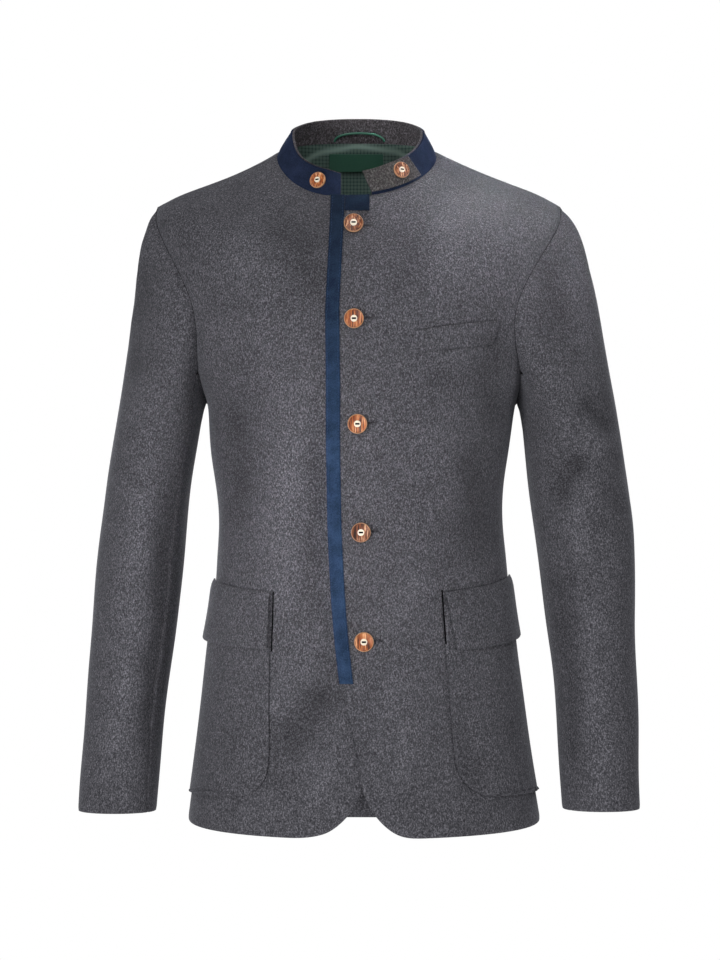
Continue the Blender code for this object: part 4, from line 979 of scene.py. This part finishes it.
# a buttonhole runs level, a little above each button's middle (x, z): two rows of stitches, a
# round end and a black strip that paints the shade in the slit. All in mm, and a stitch is its
# length, width and height
holePlaces = [(-6.6, -82.2), (-6.2, -181.4), (-2.6, -290.9), (1.1, -405.0), (4.2, -519.8)]
holeShape = {
    "start": 3.0, "end": 19.0, "above": 1.0, "row": 0.93, "pitch": 0.8, "lean": 0.12,
    "stitch": (2.0, 0.31, 0.6), "stitchLift": 0.25,
    "endWide": 1.0, "endHigh": 1.3, "endTurn": 0.5, "endStitch": (1.6, 0.275, 0.55),
    "slit": (0.45, 0.6), "lift": 0.2,
}


def makeButtonholes():
    long = holeShape["end"] - holeShape["start"]
    lift = holeShape["lift"] * mm
    stitches = bmesh.new()
    slitShade = bmesh.new()
    for x, middle in holePlaces:
        z = middle + holeShape["above"]
        for row in (-1, 1):
            for at in range(int(long / holeShape["pitch"])):
                hit, normal = onFront(x + holeShape["start"] + at * holeShape["pitch"],
                                      z + row * holeShape["row"], frontSurface)
                if hit is None:
                    continue
                place = frameFrom(hit + normal * holeShape["stitchLift"] * mm, normal,
                                  Vector((holeShape["lean"], 0, 1)))
                addBlock(stitches, place, *holeShape["stitch"])
        hit, normal = onFront(x + holeShape["end"], z, frontSurface)
        for at in range(-3, 4):
            turn = at * holeShape["endTurn"]
            way = Vector((math.cos(turn), 0, math.sin(turn)))
            bow = Vector((way.x * holeShape["endWide"], 0, way.z * holeShape["endHigh"]))
            place = frameFrom(hit + bow * mm + normal * lift, normal, way)
            addBlock(stitches, place, *holeShape["endStitch"])
        hit, normal = onFront(x + holeShape["start"] + long / 2.0, z, frontSurface)
        place = frameFrom(hit + normal * lift, normal, Vector((1, 0, 0)))
        addBlock(slitShade, place, long, *holeShape["slit"])
    keepBlocks("buttonhole_stitches", stitches, greyThread)
    keepBlocks("buttonhole_slit_shade", slitShade, darkThreadAndShade)


makeButtonholes()


# a row of stitches down each side of the band, in mm; "seek" is where the band is looked for,
# from one x to another by steps
bandShape = {"pitch": 3.1, "ends": 4.0, "inset": 1.6, "lift": 0.08, "stitch": (2.2, 0.225, 0.4),
             "seek": (-60.0, 20.0, 0.5)}


def makeBandStitches():
    form = bmesh.new()
    heights = [vert.co.z / mm for vert in cloths["front_trim"].data.vertices]
    z = max(heights) - bandShape["ends"]
    last = min(heights) + bandShape["ends"]
    while z > last:
        spots = [x for x in np.arange(*bandShape["seek"])
                 if onFront(x, z, bandSurface)[0] is not None]
        if spots:
            for x in (min(spots) + bandShape["inset"], max(spots) - bandShape["inset"]):
                hit, normal = onFront(x, z, bandSurface)
                if hit is None:
                    continue
                place = frameFrom(hit + normal * bandShape["lift"] * mm, normal,
                                  Vector((0, 0, 1)))
                addBlock(form, place, *bandShape["stitch"])
        z -= bandShape["pitch"]
    keepBlocks("band_stitches", form, blueThread)


makeBandStitches()


# the hanger cord is its solid made round
def makeHangerCord():
    obj = newObject("hanger_cord", mergedForm("hanger_loop"), [satin])
    sub = obj.modifiers.new("smooth", "SUBSURF")
    sub.levels = sub.render_levels = 2
    applied(obj)
    smoothShaded(obj.data)
    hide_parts("hanger_loop")
    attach(obj, "root")


makeHangerCord()
print("trimmings made")


# a pale floor, a white sky, soft lamps and a level camera, in metres, watts and degrees
studio = {"floorHalf": 1.1, "floorHeight": -1.25, "skyLight": 0.18, "middle": (0, 0, -0.35)}


def makeFloor():
    form = bmesh.new()
    bmesh.ops.create_grid(form, x_segments=1, y_segments=1, size=studio["floorHalf"])
    bmesh.ops.translate(form, vec=(0, 0, studio["floorHeight"]), verts=form.verts)
    obj = newObject("floor", form, [floorPaint])


makeFloor()

# the sky lights the jacket softly, and the camera sees it as plain white
white = (1, 1, 1, 1)
world = bpy.data.worlds.new("studio")
scene.world = world
world.use_nodes = True
sky = world.node_tree
background = sky.nodes["Background"]
background.inputs["Color"].default_value = white
background.inputs["Strength"].default_value = studio["skyLight"]
seen = addNode(sky, "Background", values={"Color": white, "Strength": 1.0})
path = addNode(sky, "LightPath")
choose = addNode(sky, "MixShader", links={
    0: path.outputs["Is Camera Ray"], 1: background.outputs[0], 2: seen.outputs[0]})
sky.links.new(choose.outputs[0], sky.nodes["World Output"].inputs["Surface"])

lightTable = [
    {"name": "above right", "at": (1.5, -1.2, 2.2), "size": 0.9, "power": 4.0},
    {"name": "front", "at": (0.2, -3.0, 1.6), "size": 1.0, "power": 27.0},
    {"name": "right", "at": (2.6, -1.5, -0.75), "size": 1.0, "power": 19.0},
    {"name": "low left", "at": (-1.6, -2.4, -1.1), "size": 0.9, "power": 50.0},
    {"name": "over", "at": (0.1, -0.2, 1.6), "size": 1.0, "power": 8.5},
    {"name": "shoulder", "at": (0.9, -1.3, 1.3), "size": 0.2, "power": 0.2, "spread": 8.0,
     "to": (0.16, -0.05, -0.01)},
    {"name": "belly", "at": (-0.5, -3.0, 0.4), "size": 0.3, "power": 0.15, "spread": 8.0,
     "to": (-0.07, -0.12, -0.36)},
    {"name": "rear right", "at": (0.9, 2.8, 0.5), "size": 1.2, "power": 34.0},
    {"name": "rear left", "at": (-1.2, 2.6, -0.2), "size": 1.2, "power": 22.0},
]
for facts in lightTable:
    data = bpy.data.lights.new(facts["name"], "AREA")
    data.energy = facts["power"]
    data.size = facts["size"]
    data.spread = math.radians(facts.get("spread", 180.0))
    lamp = bpy.data.objects.new(facts["name"], data)
    scene.collection.objects.link(lamp)
    lamp.location = facts["at"]
    aim = Vector(facts.get("to", studio["middle"])) - Vector(facts["at"])
    lamp.rotation_euler = aim.to_track_quat("-Z", "Y").to_euler()

view = {"at": (0.0, -4.0, -0.350), "tilt": 90.0, "lens": 138.9, "sensor": 36.0}
camData = bpy.data.cameras.new("camera")
camData.lens = view["lens"]
camData.sensor_width = view["sensor"]
camera = bpy.data.objects.new("camera", camData)
scene.collection.objects.link(camera)
camera.location = view["at"]
camera.rotation_euler = (math.radians(view["tilt"]), 0, 0)
scene.camera = camera
scene.view_settings.view_transform = "Standard"
print("studio made")
